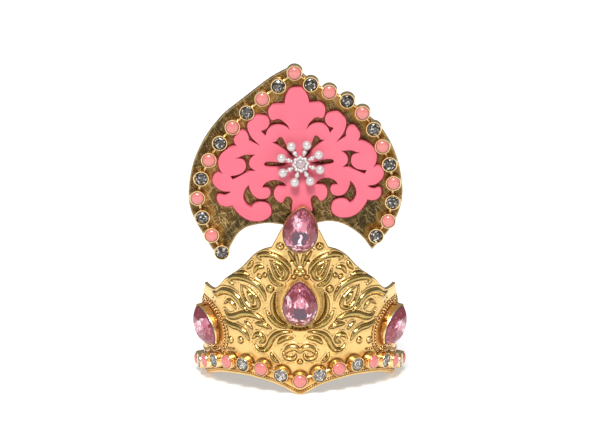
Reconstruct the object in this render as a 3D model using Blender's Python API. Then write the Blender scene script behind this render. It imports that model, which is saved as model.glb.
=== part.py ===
"""Deity crown. A curved gilt band with raised scrolls and a tall peak stands on the point of its lower rim
and on its two ends. A leaf-shaped plaque of gold mirror sheet is fixed behind the peak and carries a pink
damask cut-out with a pearl flower. Four pear stones sit in bezels, and two cup chains run along the band's
lower rim and round the plaque. Tables are in millimetres, the objects in metres, +Z up, front along -Y."""
import bpy
import bmesh
from math import cos, hypot, pi, radians, sin, tan
from mathutils import Matrix, Vector, geometry

MM = 0.001

# Band: outer radius at the floor, outward lean, wall, and the height of its raised scrolls
BAND_RADIUS = 29.0
BAND_LEAN = radians(5.0)
BAND_WALL = 1.1
RELIEF = 0.55
GRID_S = 5.0
GRID_H = 6.0
GRID_CLEARANCE = 1.6

# Half of the band's outline, unrolled: s along the rim from the middle, h up the wall
LOWER_RIM = [(0.8, 0.0), (2.7, 1.0), (5.1, 2.3), (8.1, 3.4), (11.6, 4.2), (16.8, 4.8), (22.9, 4.5),
             (28.2, 3.7), (33.0, 2.4), (38.0, 0.9), (41.5, 0.0), (45.0, 0.0), (48.0, 0.0)]
BAND_END = [(48.3, 4.0), (48.3, 9.0), (47.6, 14.0)]
UPPER_RIM = [(45.5, 18.0), (41.5, 21.6), (37.5, 25.0), (35.0, 28.4), (33.7, 31.0), (31.2, 30.4),
             (28.5, 30.3), (26.0, 31.4), (23.0, 34.2), (20.0, 36.3), (17.3, 38.3), (15.0, 40.6),
             (12.7, 43.2), (10.3, 45.0), (7.6, 46.0), (6.2, 48.8), (4.7, 52.0), (2.6, 54.8), (0.0, 55.8)]

# Raised scrolls on one half, unrolled: name, half width, points (s, h). The other half is their mirror image.
SCROLLS = [
    ("upper_hook", 0.65, [(10.6, 42.0), (11.2, 43.0), (9.5, 43.7), (7.0, 43.4), (4.6, 42.1), (3.0, 40.2),
                          (2.5, 38.2)]),
    ("upper_drop", 0.45, [(8.0, 41.9), (5.2, 40.9), (3.6, 38.7), (3.8, 36.9), (5.1, 36.2), (6.4, 37.3),
                          (7.2, 39.6), (7.8, 41.2)]),
    ("upper_seed", 0.5, [(6.5, 40.6), (5.4, 39.2), (4.9, 37.6)]),
    ("upper_sweep", 0.55, [(8.6, 39.3), (7.8, 36.3), (6.4, 34.7), (4.7, 34.3)]),
    ("small_scroll", 0.5, [(12.6, 37.8), (11.6, 39.5), (9.9, 39.6)]),
    ("edge_leaf", 0.55, [(13.0, 41.2), (13.6, 40.0), (14.6, 38.8)]),
    ("side_leaf", 0.55, [(17.8, 37.1), (16.1, 37.3), (14.2, 36.8)]),
    ("lower_hook", 0.75, [(19.6, 33.2), (20.9, 34.2), (19.4, 35.4), (16.7, 35.7), (13.9, 35.1),
                          (11.5, 33.7), (10.1, 31.5), (9.6, 29.5)]),
    ("lower_drop", 0.45, [(16.9, 33.4), (16.6, 30.6), (15.5, 28.0), (13.5, 26.6), (11.8, 27.4),
                          (12.1, 29.7), (14.3, 32.2), (16.2, 33.3)]),
    ("lower_seed", 0.6, [(15.0, 31.4), (14.0, 29.8), (13.4, 28.2)]),
    ("long_wave", 0.8, [(28.4, 29.2), (26.6, 28.9), (23.6, 30.4), (20.6, 30.4), (18.3, 29.0),
                        (17.0, 26.9), (15.2, 25.3)]),
    ("middle_wave", 0.8, [(23.6, 24.3), (21.9, 22.8), (19.6, 23.1), (17.0, 24.3), (14.0, 24.6),
                          (11.6, 23.8), (10.0, 22.6)]),
    ("middle_curl", 0.5, [(23.4, 26.6), (21.5, 27.8), (20.0, 26.9), (19.2, 25.6)]),
    ("flame", 0.65, [(9.4, 26.0), (8.2, 23.9), (6.4, 22.1), (4.0, 20.9)]),
    ("low_leaf", 0.55, [(12.8, 21.9), (10.6, 21.7), (8.3, 20.7)]),
    ("small_leaf", 0.5, [(16.3, 22.0), (15.1, 21.2), (13.9, 20.0)]),
    ("lower_wave", 0.7, [(23.9, 21.3), (21.5, 20.1), (18.5, 19.7), (16.5, 18.5), (15.2, 16.4)]),
    ("low_curl", 0.6, [(13.9, 17.1), (12.6, 18.4), (11.1, 18.0), (10.6, 16.6), (11.8, 16.0)]),
    ("low_hook", 0.6, [(13.4, 15.4), (12.3, 13.9), (10.4, 13.8), (9.1, 15.2), (8.2, 17.1), (6.9, 18.7),
                       (4.9, 19.6), (2.4, 19.9)]),
    ("brow", 0.5, [(6.3, 16.1), (4.7, 17.6), (2.1, 18.0)]),
    ("spiral", 0.55, [(0.9, 13.6), (1.6, 15.0), (2.9, 15.4), (4.3, 14.6), (4.9, 13.0), (4.3, 11.7),
                      (3.0, 11.2), (2.2, 12.1), (2.9, 13.2)]),
    ("foot_curl", 0.5, [(8.4, 12.8), (7.8, 11.2), (6.3, 10.0)]),
    ("gem_ring", 0.5, [(6.9, 31.8), (7.6, 29.0), (7.4, 25.8), (5.9, 23.2), (3.8, 21.9)]),
    ("outer_flute", 0.35, [(3.0, 44.9), (1.7, 42.4), (0.95, 40.4)]),
    ("inner_flute", 0.35, [(1.35, 45.0), (0.85, 42.6), (0.45, 40.9)]),
]

# Raised beads on one half and on the middle line, unrolled: s, h, radius
BEADS = [(0.0, 38.7, 0.95), (1.35, 37.2, 0.5), (8.2, 33.0, 0.9), (11.2, 36.6, 0.55), (9.6, 37.2, 0.5),
         (4.4, 46.3, 0.9), (18.3, 15.8, 0.8), (22.1, 15.2, 0.8), (0.0, 9.9, 0.6), (28.2, 26.4, 0.5)]

# Pear stones: name, s, h, gap to the wall, turn in the wall's plane, outward tilt of the top, the bezel's
# height at its lower end, and size. The upper one hides the foot of the cut-out, so it stands a little off.
PEARS = [("centre", 0.0, 29.4, 0.15, 0.0, 0.0, 2.5, 1.0),
         ("upper", 0.2, 52.2, 0.5, radians(-8.0), 0.0, 2.3, 1.0),
         ("left", -31.5, 18.2, 0.15, radians(25.0), radians(8.0), 1.0, 0.95),
         ("right", 31.5, 18.2, 0.15, radians(-25.0), radians(8.0), 1.0, 0.95)]
PEAR_WIDTH = 10.4
PEAR_LENGTH = 13.8
PEAR_FULLNESS = 0.45
PEAR_WIDEST = 0.874
PEAR_SIDES = 18
BEZEL_WALL = 0.4
BEZEL_FLOOR = 0.5
BEZEL_DRAFT = 0.3
BEZEL_POCKET = 1.3
CROWN_HEIGHT = 2.5
SHOULDER_WIDTH = 0.80
SHOULDER_HEIGHT = 0.62
TABLE_WIDTH = 0.50
TABLE_LENGTH = 0.52

# Cup chains: cup, stones and the links between cups
CUP_RADIUS = 2.3
CUP_FOOT = 2.05
CUP_HEIGHT = 2.5
CUP_WAIST = 1.5
CUP_POCKET = 1.2
CUP_BORE = 1.98
POCKET_DRAFT = 0.1
ROUND_SIDES = 10
LINK_WIDTH = 0.9
LINK_THICKNESS = 0.5
LINK_ABOVE_FOOT = 0.2
LINK_REACH = 1.6
CABOCHON_RISE = 0.8
CRYSTAL_GIRDLE = 2.15
CRYSTAL_RISE = 0.15
BAND_CHAIN_STONES = 8
BAND_CHAIN_PITCH = 5.75
BAND_CHAIN_ABOVE_RIM = 4.4

# Plaque: a flat sheet that leans with the band, set behind the peak, turned a little to the left
PLAQUE_THICKNESS = 1.3
PLAQUE_SET_BACK = 1.8
PLAQUE_BASE = 44.0
PLAQUE_TURN = radians(2.6)
PLAQUE_RIGHT = [(4.6, 1.2), (4.6, 8.9), (8.8, 9.4), (12.6, 8.6), (15.9, 6.6), (18.8, 3.9), (21.3, 0.1),
                (25.2, 4.2), (27.9, 7.8), (30.1, 12.6), (31.0, 17.2), (30.8, 22.2), (29.9, 27.3),
                (28.1, 32.4), (25.2, 37.4), (21.4, 41.3), (17.5, 44.4), (12.2, 47.8), (6.7, 51.3),
                (3.0, 54.6)]
PLAQUE_LEFT = [(0.8, 56.8), (-2.2, 55.6), (-6.6, 53.3), (-12.4, 49.2), (-16.8, 46.0), (-20.6, 43.1),
               (-24.9, 38.3), (-27.9, 33.6), (-30.3, 28.2), (-31.7, 22.0), (-31.9, 16.8), (-30.8, 12.3),
               (-28.6, 7.7), (-26.2, 3.0), (-24.6, 0.6), (-21.4, 1.2), (-19.3, 5.0), (-17.6, 7.2),
               (-15.2, 8.7), (-12.3, 9.3), (-8.8, 9.6), (-4.6, 8.9), (-4.6, 1.2)]

# Middle line of the plaque's chain, from the top stone down each side, and the stones on each side
CHAIN_RIGHT = [(0.9, 55.2), (4.9, 51.9), (9.8, 49.6), (19.1, 43.5), (25.3, 32.7), (28.3, 21.1), (26.6, 9.8),
               (22.7, 4.9)]
CHAIN_LEFT = [(0.9, 55.2), (-4.2, 51.3), (-9.3, 47.5), (-18.2, 39.5), (-25.7, 29.5), (-29.3, 18.0),
              (-25.6, 7.0), (-23.0, 1.9)]
PLAQUE_CHAIN_STONES = 11

# Damask cut-out, on the plaque: its thickness, its middle line, how much narrower its right half is, and the
# drawing of its left half on squared paper, which lies upright while the plaque is turned. Places on it are
# counted in squares from its upper left corner: across, down.
DAMASK_THICKNESS = 2.0
DAMASK_GAP = 0.1
DAMASK_MIDDLE = 1.3
RIGHT_NARROWING = 0.94
SQUARE_WIDTH = 0.2327
SQUARE_HEIGHT = 0.2409
DRAWING_LEFT = 27.0
DRAWING_TOP = 45.1
DAMASK_EDGE = [
    # bud and its side leaf
    (114.8, -28.4), (110.3, -27.8), (106.1, -25.8), (103.1, -21.6), (100.9, -16.2), (99.7, -7.6),
    (92.6, -7.6), (85.9, -6.9), (81.7, -4.4), (79.5, -0.2), (79.9, 4.8), (82.1, 9.9), (85.9, 11.9),
    (89.7, 10.3), (94.3, 10.7), (99.3, 14.1), (103.5, 18.3), (106.7, 24.3),
    # arch
    (102.7, 20.8), (97.7, 18.7), (90.9, 18.1), (85.1, 19.1), (80.0, 22.5), (77.5, 26.2), (76.1, 32.1),
    # comma
    (70.1, 25.4), (75.4, 23.3), (78.6, 20.7), (80.9, 15.7), (80.0, 10.7), (76.6, 7.6), (69.1, 6.2),
    (62.3, 7.0), (57.9, 11.0), (53.6, 16.4), (53.5, 22.5), (56.5, 30.0), (61.1, 36.3), (69.3, 43.6),
    # low bud
    (61.0, 40.3), (55.2, 37.8), (54.8, 33.0), (53.0, 28.6), (50.0, 25.8), (46.0, 25.0), (42.0, 26.2),
    (39.5, 29.8), (37.1, 33.2), (36.1, 36.5), (37.2, 40.5), (39.8, 44.0),
    # outer curl
    (32.0, 46.2), (26.5, 49.0), (21.5, 53.0), (17.8, 58.5), (16.3, 64.5), (17.2, 70.5), (19.3, 75.5),
    (22.5, 79.2),
    # upper and lower side lobes
    (18.0, 77.9), (13.5, 78.8), (10.3, 82.0), (8.8, 87.0), (10.2, 91.8), (13.8, 96.0), (18.5, 99.3),
    (24.0, 101.2), (28.5, 101.3), (32.5, 101.6), (28.5, 104.5), (23.5, 106.3), (18.5, 105.3),
    (15.0, 106.5), (14.2, 110.0), (15.8, 115.0), (19.5, 118.6), (25.0, 120.3), (30.0, 119.8), (33.5, 118.6),
    # great scroll
    (36.0, 122.5), (40.0, 127.5), (45.0, 132.3), (52.0, 136.5), (59.0, 138.6), (66.0, 139.0), (73.0, 137.8),
    (79.0, 134.5), (82.5, 130.0), (82.8, 124.5), (80.3, 119.0), (75.0, 115.8), (69.0, 115.0), (63.8, 116.3),
    (60.0, 119.0), (57.5, 122.2), (53.5, 120.0), (50.5, 116.5), (48.2, 112.0), (47.6, 107.0), (49.0, 101.0),
    (51.8, 96.0), (54.6, 93.0),
    # inner curl
    (55.6, 97.5), (57.5, 101.8), (60.5, 106.0), (64.5, 109.3), (69.5, 110.6), (75.0, 110.3), (79.5, 108.0),
    (81.8, 104.0), (81.6, 100.3), (79.0, 97.8), (75.5, 97.0), (71.2, 96.6), (73.5, 92.5), (77.5, 89.3),
    (82.5, 87.3), (88.0, 86.6), (93.5, 87.6), (98.0, 90.0), (102.2, 94.0),
    # curl on the stem, and the stem
    (98.0, 94.3), (94.5, 94.6), (91.0, 95.5), (87.8, 98.5), (86.2, 103.0), (86.8, 107.5), (89.0, 111.5),
    (92.5, 114.3), (96.0, 115.2), (98.6, 113.0), (100.0, 109.5), (103.5, 107.5), (107.0, 108.5),
    (109.6, 112.5), (109.4, 118.0), (108.5, 127.0)]
DAMASK_OPENINGS = [
    # between the outer curl and the middle
    [(37.5, 59.8), (43.0, 58.0), (48.5, 55.5), (53.0, 54.9), (58.0, 55.0), (63.5, 54.6), (60.0, 57.2),
     (56.8, 60.8), (55.2, 65.0), (56.0, 69.5), (58.8, 72.5), (63.5, 75.2), (58.0, 76.0), (52.5, 77.8),
     (47.0, 80.3), (40.5, 83.8), (34.5, 86.8), (31.0, 81.8), (37.0, 81.0), (43.0, 79.5), (48.0, 76.3),
     (50.8, 72.0), (51.0, 67.0), (48.8, 62.8), (45.0, 60.5), (41.0, 59.9)],
    # slot towards the flower
    [(106.0, 65.8), (100.0, 68.4), (95.0, 70.0), (88.0, 71.0), (80.0, 70.8), (75.5, 69.5), (74.0, 67.6),
     (74.6, 65.5), (77.0, 64.0), (83.0, 63.4), (90.0, 64.1), (97.0, 65.3)],
    # drop beside the bud's foot
    [(83.4, 39.3), (88.8, 38.4), (91.0, 35.4), (93.5, 33.0), (96.4, 33.0), (98.5, 35.9), (101.0, 41.0),
     (104.4, 46.8), (107.7, 51.9), (112.0, 58.2), (108.6, 56.9), (104.4, 53.7), (99.3, 49.5), (94.3, 46.0),
     (90.1, 43.2), (87.0, 41.0)]]

# Pearl flower: place on the plaque, arms, pearls and the middle stone
FLOWER = (1.5, 28.4)
FLOWER_ARMS = 8
FLOWER_TURN = radians(25.0)
ARM_LENGTH = 5.9
ARM_HALF_WIDTH = 0.35
ARM_THICKNESS = 0.6
END_PEARL = 1.35
ARM_PEARL = 0.75
ARM_PEARL_AT = 3.3
PEARL_HEIGHT = 2.0
FLOWER_MIDDLE = 1.9

GAP = 0.15
STONE_GAP = 0.08


def material(name, colour, metallic, roughness):
    made = bpy.data.materials.new(name)
    made.use_nodes = True
    shader = made.node_tree.nodes["Principled BSDF"]
    shader.inputs["Base Color"].default_value = (*colour, 1.0)
    shader.inputs["Metallic"].default_value = metallic
    shader.inputs["Roughness"].default_value = roughness
    made.diffuse_color = (*colour, 1.0)
    return made


def make_object(name, points, faces, finish, parent, place=None, smooth_angle=None):
    """An object from points in millimetres, placed in its parent's frame."""
    mesh = bpy.data.meshes.new(name)
    mesh.from_pydata([Vector(p) * MM for p in points], [], faces)
    mesh.materials.append(finish)
    if smooth_angle is not None:
        mesh.shade_smooth()
        mesh.set_sharp_from_angle(angle=smooth_angle)
    made = bpy.data.objects.new(name, mesh)
    bpy.context.scene.collection.objects.link(made)
    made.parent = parent
    if place is not None:
        made.matrix_basis = place
    return made


def make_empty(name, parent=None, place=None):
    made = bpy.data.objects.new(name, None)
    bpy.context.scene.collection.objects.link(made)
    made.parent = parent
    if place is not None:
        made.matrix_basis = place
    return made


def mirrored(points):
    return [(-s, h) for s, h in points]


def smooth_path(points, steps):
    """Catmull-Rom curve through points of any dimension, with this many steps between two of them."""
    path = [Vector(p) for p in points]
    ends = [2 * path[0] - path[1]] + path + [2 * path[-1] - path[-2]]
    curve = []
    for i in range(1, len(path)):
        a, b, c, d = ends[i - 1:i + 3]
        for k in range(steps):
            t = k / steps
            curve.append(0.5 * (2 * b + (c - a) * t + (2 * a - 5 * b + 4 * c - d) * t * t
                                + (3 * b - a - 3 * c + d) * t ** 3))
    curve.append(path[-1])
    return curve


def evenly_spaced(points, count):
    """Points at equal distances along a smooth path, the first and the last included."""
    curve = smooth_path(points, 8)
    lengths = [0.0]
    for a, b in zip(curve, curve[1:]):
        lengths.append(lengths[-1] + (b - a).length)
    spaced = []
    for k in range(count):
        target = lengths[-1] * k / (count - 1)
        i = max(j for j in range(len(curve) - 1) if lengths[j] <= target + 1e-9)
        spaced.append(curve[i].lerp(curve[i + 1], (target - lengths[i]) / (lengths[i + 1] - lengths[i])))
    return spaced


def inside(point, polygon):
    """Whether the polygon winds round the point; it may overlap itself in a tight curl."""
    x, y = point
    turns = 0
    for (ax, ay), (bx, by) in zip(polygon, polygon[1:] + polygon[:1]):
        if (ay > y) != (by > y) and x < ax + (y - ay) * (bx - ax) / (by - ay):
            turns += 1 if by > ay else -1
    return turns != 0


def triangulate(points, edges):
    """Triangles over the points that keep every edge; points are added where edges cross."""
    corners = [Vector(p[:2]) for p in points]
    flat, _, triangles, _, _, _ = geometry.delaunay_2d_cdt(corners, edges, [], 0, 1e-4)
    return [tuple(v) for v in flat], [tuple(t) for t in triangles]


def middle_of(triangle, flat):
    return tuple(sum(flat[i][axis] for i in triangle) / 3 for axis in (0, 1))


def rings_to_solid(rings, staggered=()):
    """Faces that join rings of equal size, anticlockwise from above, and close the first and last ring."""
    count = len(rings[0])
    points = [p for ring in rings for p in ring]
    faces = [tuple(range(count))[::-1]]
    for level in range(len(rings) - 1):
        low, high = level * count, (level + 1) * count
        for j in range(count):
            k = (j + 1) % count
            if level in staggered:
                faces += [(low + j, low + k, high + j), (low + k, high + k, high + j)]
            else:
                faces.append((low + j, low + k, high + k, high + j))
    faces.append(tuple(range(len(points) - count, len(points))))
    return points, faces


def join_solids(solids):
    points, faces = [], []
    for some_points, some_faces in solids:
        start = len(points)
        points += [tuple(p) for p in some_points]
        faces += [tuple(start + i for i in face) for face in some_faces]
    return points, faces


def moved(solid, place):
    points, faces = solid
    return [tuple(place @ Vector(p)) for p in points], faces


def circle(radius, height, sides=ROUND_SIDES, turn=0.0):
    angles = [2 * pi * (j + turn) / sides for j in range(sides)]
    return [(radius * cos(a), radius * sin(a), height) for a in angles]


def wall_point(s, h, out=0.0):
    """Unrolled place on the band's wall to a point in the crown's frame."""
    turn = s / BAND_RADIUS
    reach = BAND_RADIUS + h * sin(BAND_LEAN) + out
    return Vector((reach * sin(turn), -reach * cos(turn), h * cos(BAND_LEAN)))


def wall_frame(s, h, out=0.0):
    """Frame on the wall: X along the rim, Y up the wall, Z outwards."""
    facing = Matrix.Rotation(s / BAND_RADIUS, 4, "Z") @ Matrix.Rotation(pi / 2 + BAND_LEAN, 4, "X")
    return Matrix.Translation(wall_point(s, h, out)) @ facing


def scaled_to_metres(frame):
    return Matrix.Translation(frame.translation * MM) @ frame.to_quaternion().to_matrix().to_4x4()


def taper(t):
    """Width of a scroll along its length: pointed at both ends, full over its middle."""
    return min(1.0, max(0.0, 3.2 * min(t, 1.0 - t))) ** 0.7


def scroll_samples(half_width, points, steps=2):
    curve = smooth_path(points, steps)
    samples = []
    for i, p in enumerate(curve):
        along = curve[min(i + 1, len(curve) - 1)] - curve[max(i - 1, 0)]
        side = Vector((-along.y, along.x)).normalized()
        samples.append((p, side, half_width * taper(i / (len(curve) - 1))))
    return samples


def all_scrolls():
    for _, half_width, points in SCROLLS:
        yield scroll_samples(half_width, points)
        yield scroll_samples(half_width, mirrored(points))


def all_beads():
    for s, h, radius in BEADS:
        yield s, h, radius
        if s > 0:
            yield -s, h, radius


def relief_height(point, scrolls, beads):
    """Height of the raised work over the wall: a ridge along each scroll, a dome at each bead."""
    here = Vector(point)
    best = 0.0
    for samples in scrolls:
        for (a, _, wa), (b, _, wb) in zip(samples, samples[1:]):
            step = b - a
            t = min(1.0, max(0.0, (here - a).dot(step) / step.length_squared))
            width = wa + (wb - wa) * t
            away = (here - a - step * t).length
            if away < width:
                best = max(best, RELIEF * (1.0 - away / width) * min(1.0, width / 0.4))
    for s, h, radius in beads:
        away = hypot(here.x - s, here.y - h)
        if away < radius:
            best = max(best, RELIEF * (1.0 - away / radius) * 1.1)
    return best


def band_outline():
    """The band's unrolled outline, anticlockwise from the middle of its lower rim."""
    half = LOWER_RIM + BAND_END + UPPER_RIM
    return half + [(-s, h) for s, h in half[::-1] if s > 0]


def grid_points(outline, keep_clear):
    points = []
    columns = int(50.0 / GRID_S)
    for i in range(-columns, columns + 1):
        for k in range(1, 9):
            p = (i * GRID_S, k * GRID_H + (GRID_H / 2 if i % 2 else 0.0))
            near = min(hypot(p[0] - q[0], p[1] - q[1]) for q in keep_clear)
            if near > GRID_CLEARANCE and inside(p, outline):
                points.append(p)
    return points


def wall_sheet(outline, extra_points, extra_edges):
    count = len(outline)
    points = list(outline) + extra_points
    edges = [(i, (i + 1) % count) for i in range(count)] + [(a + count, b + count) for a, b in extra_edges]
    points += grid_points(outline, points)
    flat, triangles = triangulate(points, edges)
    return flat, [t for t in triangles if inside(middle_of(t, flat), outline)]


def relief_lines(scrolls, beads):
    """Edges and crests of the raised work, which the front sheet has to follow."""
    points, edges = [], []
    for samples in scrolls:
        for side_factor in (-1.0, 0.0, 1.0):
            first = len(points)
            for p, side, width in samples:
                q = p + side * (width * side_factor)
                points.append((q.x, q.y))
            edges += [(i, i + 1) for i in range(first, len(points) - 1)]
    for s, h, radius in beads:
        first = len(points)
        points += [(s + x, h + y) for x, y, _ in circle(radius, 0.0, 8)]
        edges += [(first + j, first + (j + 1) % 8) for j in range(8)]
        points.append((s, h))
    return points, edges


def make_band(finish, parent):
    outline = band_outline()
    scrolls, beads = list(all_scrolls()), list(all_beads())
    front, front_faces = wall_sheet(outline, *relief_lines(scrolls, beads))
    back, back_faces = wall_sheet(outline, [], [])
    points = [wall_point(s, h, relief_height((s, h), scrolls, beads)) for s, h in front]
    points += [wall_point(s, h, -BAND_WALL) for s, h in back]
    shift = len(front)
    faces = front_faces + [tuple(i + shift for i in t[::-1]) for t in back_faces]

    def nearest(flat, p):
        return min(range(len(flat)), key=lambda i: hypot(flat[i][0] - p[0], flat[i][1] - p[1]))

    front_rim = [nearest(front, p) for p in outline]
    back_rim = [nearest(back, p) + shift for p in outline]
    for i in range(len(outline)):
        k = (i + 1) % len(outline)
        faces.append((front_rim[i], back_rim[i], back_rim[k], front_rim[k]))
    return make_object("crown_band", points, faces, finish, parent, smooth_angle=radians(25))


def pear_outline(width, length, height, sides=PEAR_SIDES):
    """A pear with its tip at +Y, anticlockwise."""
    outline = []
    for j in range(sides):
        t = 2 * pi * j / sides
        x = -sin(t) * abs(sin(t / 2)) ** PEAR_FULLNESS * width / 2 / PEAR_WIDEST
        outline.append((x, cos(t) * length / 2, height))
    return outline


def make_pear_set(name, s, h, gap, turn, tilt, height, size, metal, stone, parent):
    """A bezel on the wall and the pear stone in it. A tilted stone has a deeper bezel under its tip."""
    width, length = PEAR_WIDTH * size, PEAR_LENGTH * size
    half_length = length / 2 + BEZEL_WALL
    pocket = min(BEZEL_POCKET, height - BEZEL_FLOOR)
    place = wall_frame(s, h, gap) @ Matrix.Rotation(turn, 4, "Z")
    place = place @ Matrix.Translation((0, 0, height + tan(tilt) * half_length)) @ Matrix.Rotation(tilt, 4, "X")

    def ring(spread, z):
        return pear_outline(width + 2 * spread, length + 2 * spread, z)

    base = [(x, y, -height - tan(tilt) * (y + half_length)) for x, y, _ in ring(BEZEL_WALL - BEZEL_DRAFT, 0.0)]
    rings = [base, ring(BEZEL_WALL, -pocket), ring(BEZEL_WALL - BEZEL_DRAFT / 2, 0.0), ring(0.0, 0.0),
             ring(-BEZEL_DRAFT, -pocket)]
    bezel = make_object(f"bezel_{name}", *rings_to_solid(rings), metal, parent, scaled_to_metres(place),
                        radians(40))
    cut = [ring(-BEZEL_DRAFT - STONE_GAP, STONE_GAP - pocket), ring(-STONE_GAP, STONE_GAP),
           pear_outline(width * SHOULDER_WIDTH, length * SHOULDER_WIDTH, CROWN_HEIGHT * SHOULDER_HEIGHT),
           pear_outline(width * TABLE_WIDTH, length * TABLE_LENGTH, CROWN_HEIGHT)]
    gem = make_object(f"gem_{name}", *rings_to_solid(cut), stone, parent, scaled_to_metres(place))
    return bezel, gem


def cup_solid():
    rings = [circle(CUP_FOOT, 0.0), circle(CUP_RADIUS, CUP_WAIST), circle(CUP_RADIUS, CUP_HEIGHT),
             circle(CUP_BORE, CUP_HEIGHT), circle(CUP_BORE - POCKET_DRAFT, CUP_HEIGHT - CUP_POCKET)]
    return rings_to_solid(rings)


def cabochon_solid():
    foot, girdle = CUP_HEIGHT - CUP_POCKET + STONE_GAP, CUP_HEIGHT
    reach = CUP_BORE - STONE_GAP
    rings = [circle(reach - POCKET_DRAFT, foot), circle(reach, girdle), circle(reach * 0.82, girdle + CABOCHON_RISE * 0.55),
             circle(reach * 0.45, girdle + CABOCHON_RISE)]
    return rings_to_solid(rings)


def crystal_solid():
    foot = CUP_HEIGHT - CUP_POCKET + STONE_GAP
    reach = CUP_BORE - STONE_GAP
    rings = [circle(reach - POCKET_DRAFT, foot), circle(reach, CRYSTAL_GIRDLE),
             circle(reach * 0.60, CUP_HEIGHT + CRYSTAL_RISE, turn=0.5)]
    return rings_to_solid(rings, staggered=(1,))


def link_solid(start, finish):
    """A flat bar between the bases of two cups, whose frames are given."""
    a, b = start.translation, finish.translation
    along = (b - a).normalized()
    up = (start.to_3x3().col[2] + finish.to_3x3().col[2]).normalized()
    side = up.cross(along).normalized()
    low, high = LINK_ABOVE_FOOT, LINK_ABOVE_FOOT + LINK_THICKNESS
    points = []
    for end in (a + along * LINK_REACH, b - along * LINK_REACH):
        for x, z in ((-1, low), (1, low), (1, high), (-1, high)):
            points.append(tuple(end + side * (x * LINK_WIDTH / 2) + up * z))
    faces = [(0, 1, 2, 3), (7, 6, 5, 4), (0, 4, 5, 1), (1, 5, 6, 2), (2, 6, 7, 3), (3, 7, 4, 0)]
    return points, faces


def add_union(target, name, solid, parent):
    """Fuses a solid into the target with a live Boolean; the solid itself is a hidden guide."""
    guide = make_object(name, *solid, target.data.materials[0], parent)
    guide.hide_render = True
    guide.display_type = "WIRE"
    fuse = target.modifiers.new("fuse_" + name, "BOOLEAN")
    fuse.operation = "UNION"
    fuse.solver = "EXACT"
    fuse.object = guide


def make_chain(name, frames, metal, cabochon, crystal, parent):
    """Cups fused with their links into one node, and a stone for each cup, cabochons at even places."""
    cups = join_solids([moved(cup_solid(), frame) for _, frame in frames])
    chain = make_object(f"{name}_cups", *cups, metal, parent, smooth_angle=radians(40))
    links = join_solids([link_solid(a[1], b[1]) for a, b in zip(frames, frames[1:])])
    add_union(chain, f"{name}_links", links, parent)
    for place, frame in frames:
        round_stone = place % 2 == 0
        side = "middle" if place == 0 else ("left" if place < 0 else "right")
        label = "cabochon" if round_stone else "crystal"
        solid = cabochon_solid() if round_stone else crystal_solid()
        make_object(f"{name}_{label}_{side}_{abs(place)}", *solid, cabochon if round_stone else crystal,
                    parent, scaled_to_metres(frame), radians(40) if round_stone else None)


def rim_height(s):
    rim = [(-LOWER_RIM[0][0], 0.0)] + LOWER_RIM
    for (sa, ha), (sb, hb) in zip(rim, rim[1:]):
        if sa <= abs(s) <= sb:
            return ha + (hb - ha) * (abs(s) - sa) / (sb - sa)
    return 0.0


def band_chain_frames():
    """Cups walk out from the middle of the band at an even pitch, at a height over the lower rim."""
    def line(s):
        near = [rim_height(s + shift) for shift in (-3.0, -1.5, 0.0, 1.5, 3.0)]
        return sum(near) / len(near) + BAND_CHAIN_ABOVE_RIM

    frames = {0: wall_frame(0.0, line(0.0), GAP)}
    s = 0.0
    for k in range(1, BAND_CHAIN_STONES + 1):
        here = wall_point(s, line(s))
        while (wall_point(s, line(s)) - here).length < BAND_CHAIN_PITCH:
            s += 0.02
        frames[k] = wall_frame(s, line(s), GAP)
        frames[-k] = wall_frame(-s, line(-s), GAP)
    return sorted(frames.items())


def plaque_chain_frames():
    right = evenly_spaced(CHAIN_RIGHT, PLAQUE_CHAIN_STONES + 1)
    left = evenly_spaced(CHAIN_LEFT, PLAQUE_CHAIN_STONES + 1)
    places = {k: right[k] for k in range(PLAQUE_CHAIN_STONES + 1)}
    places.update({-k: left[k] for k in range(1, PLAQUE_CHAIN_STONES + 1)})
    return [(k, Matrix.Translation((places[k].x, places[k].y, DAMASK_GAP))) for k in sorted(places)]


def sheet_solid(outline, back, front):
    count = len(outline)
    points = [(x, y, back) for x, y in outline] + [(x, y, front) for x, y in outline]
    faces = [tuple(range(count))[::-1], tuple(range(count, 2 * count))]
    faces += [(i, (i + 1) % count, (i + 1) % count + count, i + count) for i in range(count)]
    return points, faces


def make_plaque(finish, parent):
    solid = sheet_solid(PLAQUE_RIGHT + PLAQUE_LEFT, -PLAQUE_THICKNESS, 0.0)
    return make_object("plaque", *solid, finish, parent)


def damask_outline(drawn, right):
    """Places on the drawing to one half of the damask on the plaque."""
    outline = []
    for across, down in drawn:
        place = Matrix.Rotation(-PLAQUE_TURN, 2) @ Vector((across * SQUARE_WIDTH, -down * SQUARE_HEIGHT))
        distance = DRAWING_LEFT - place.x
        x = DAMASK_MIDDLE + (distance * RIGHT_NARROWING if right else -distance)
        outline.append((x, DRAWING_TOP + place.y))
    return outline


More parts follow.
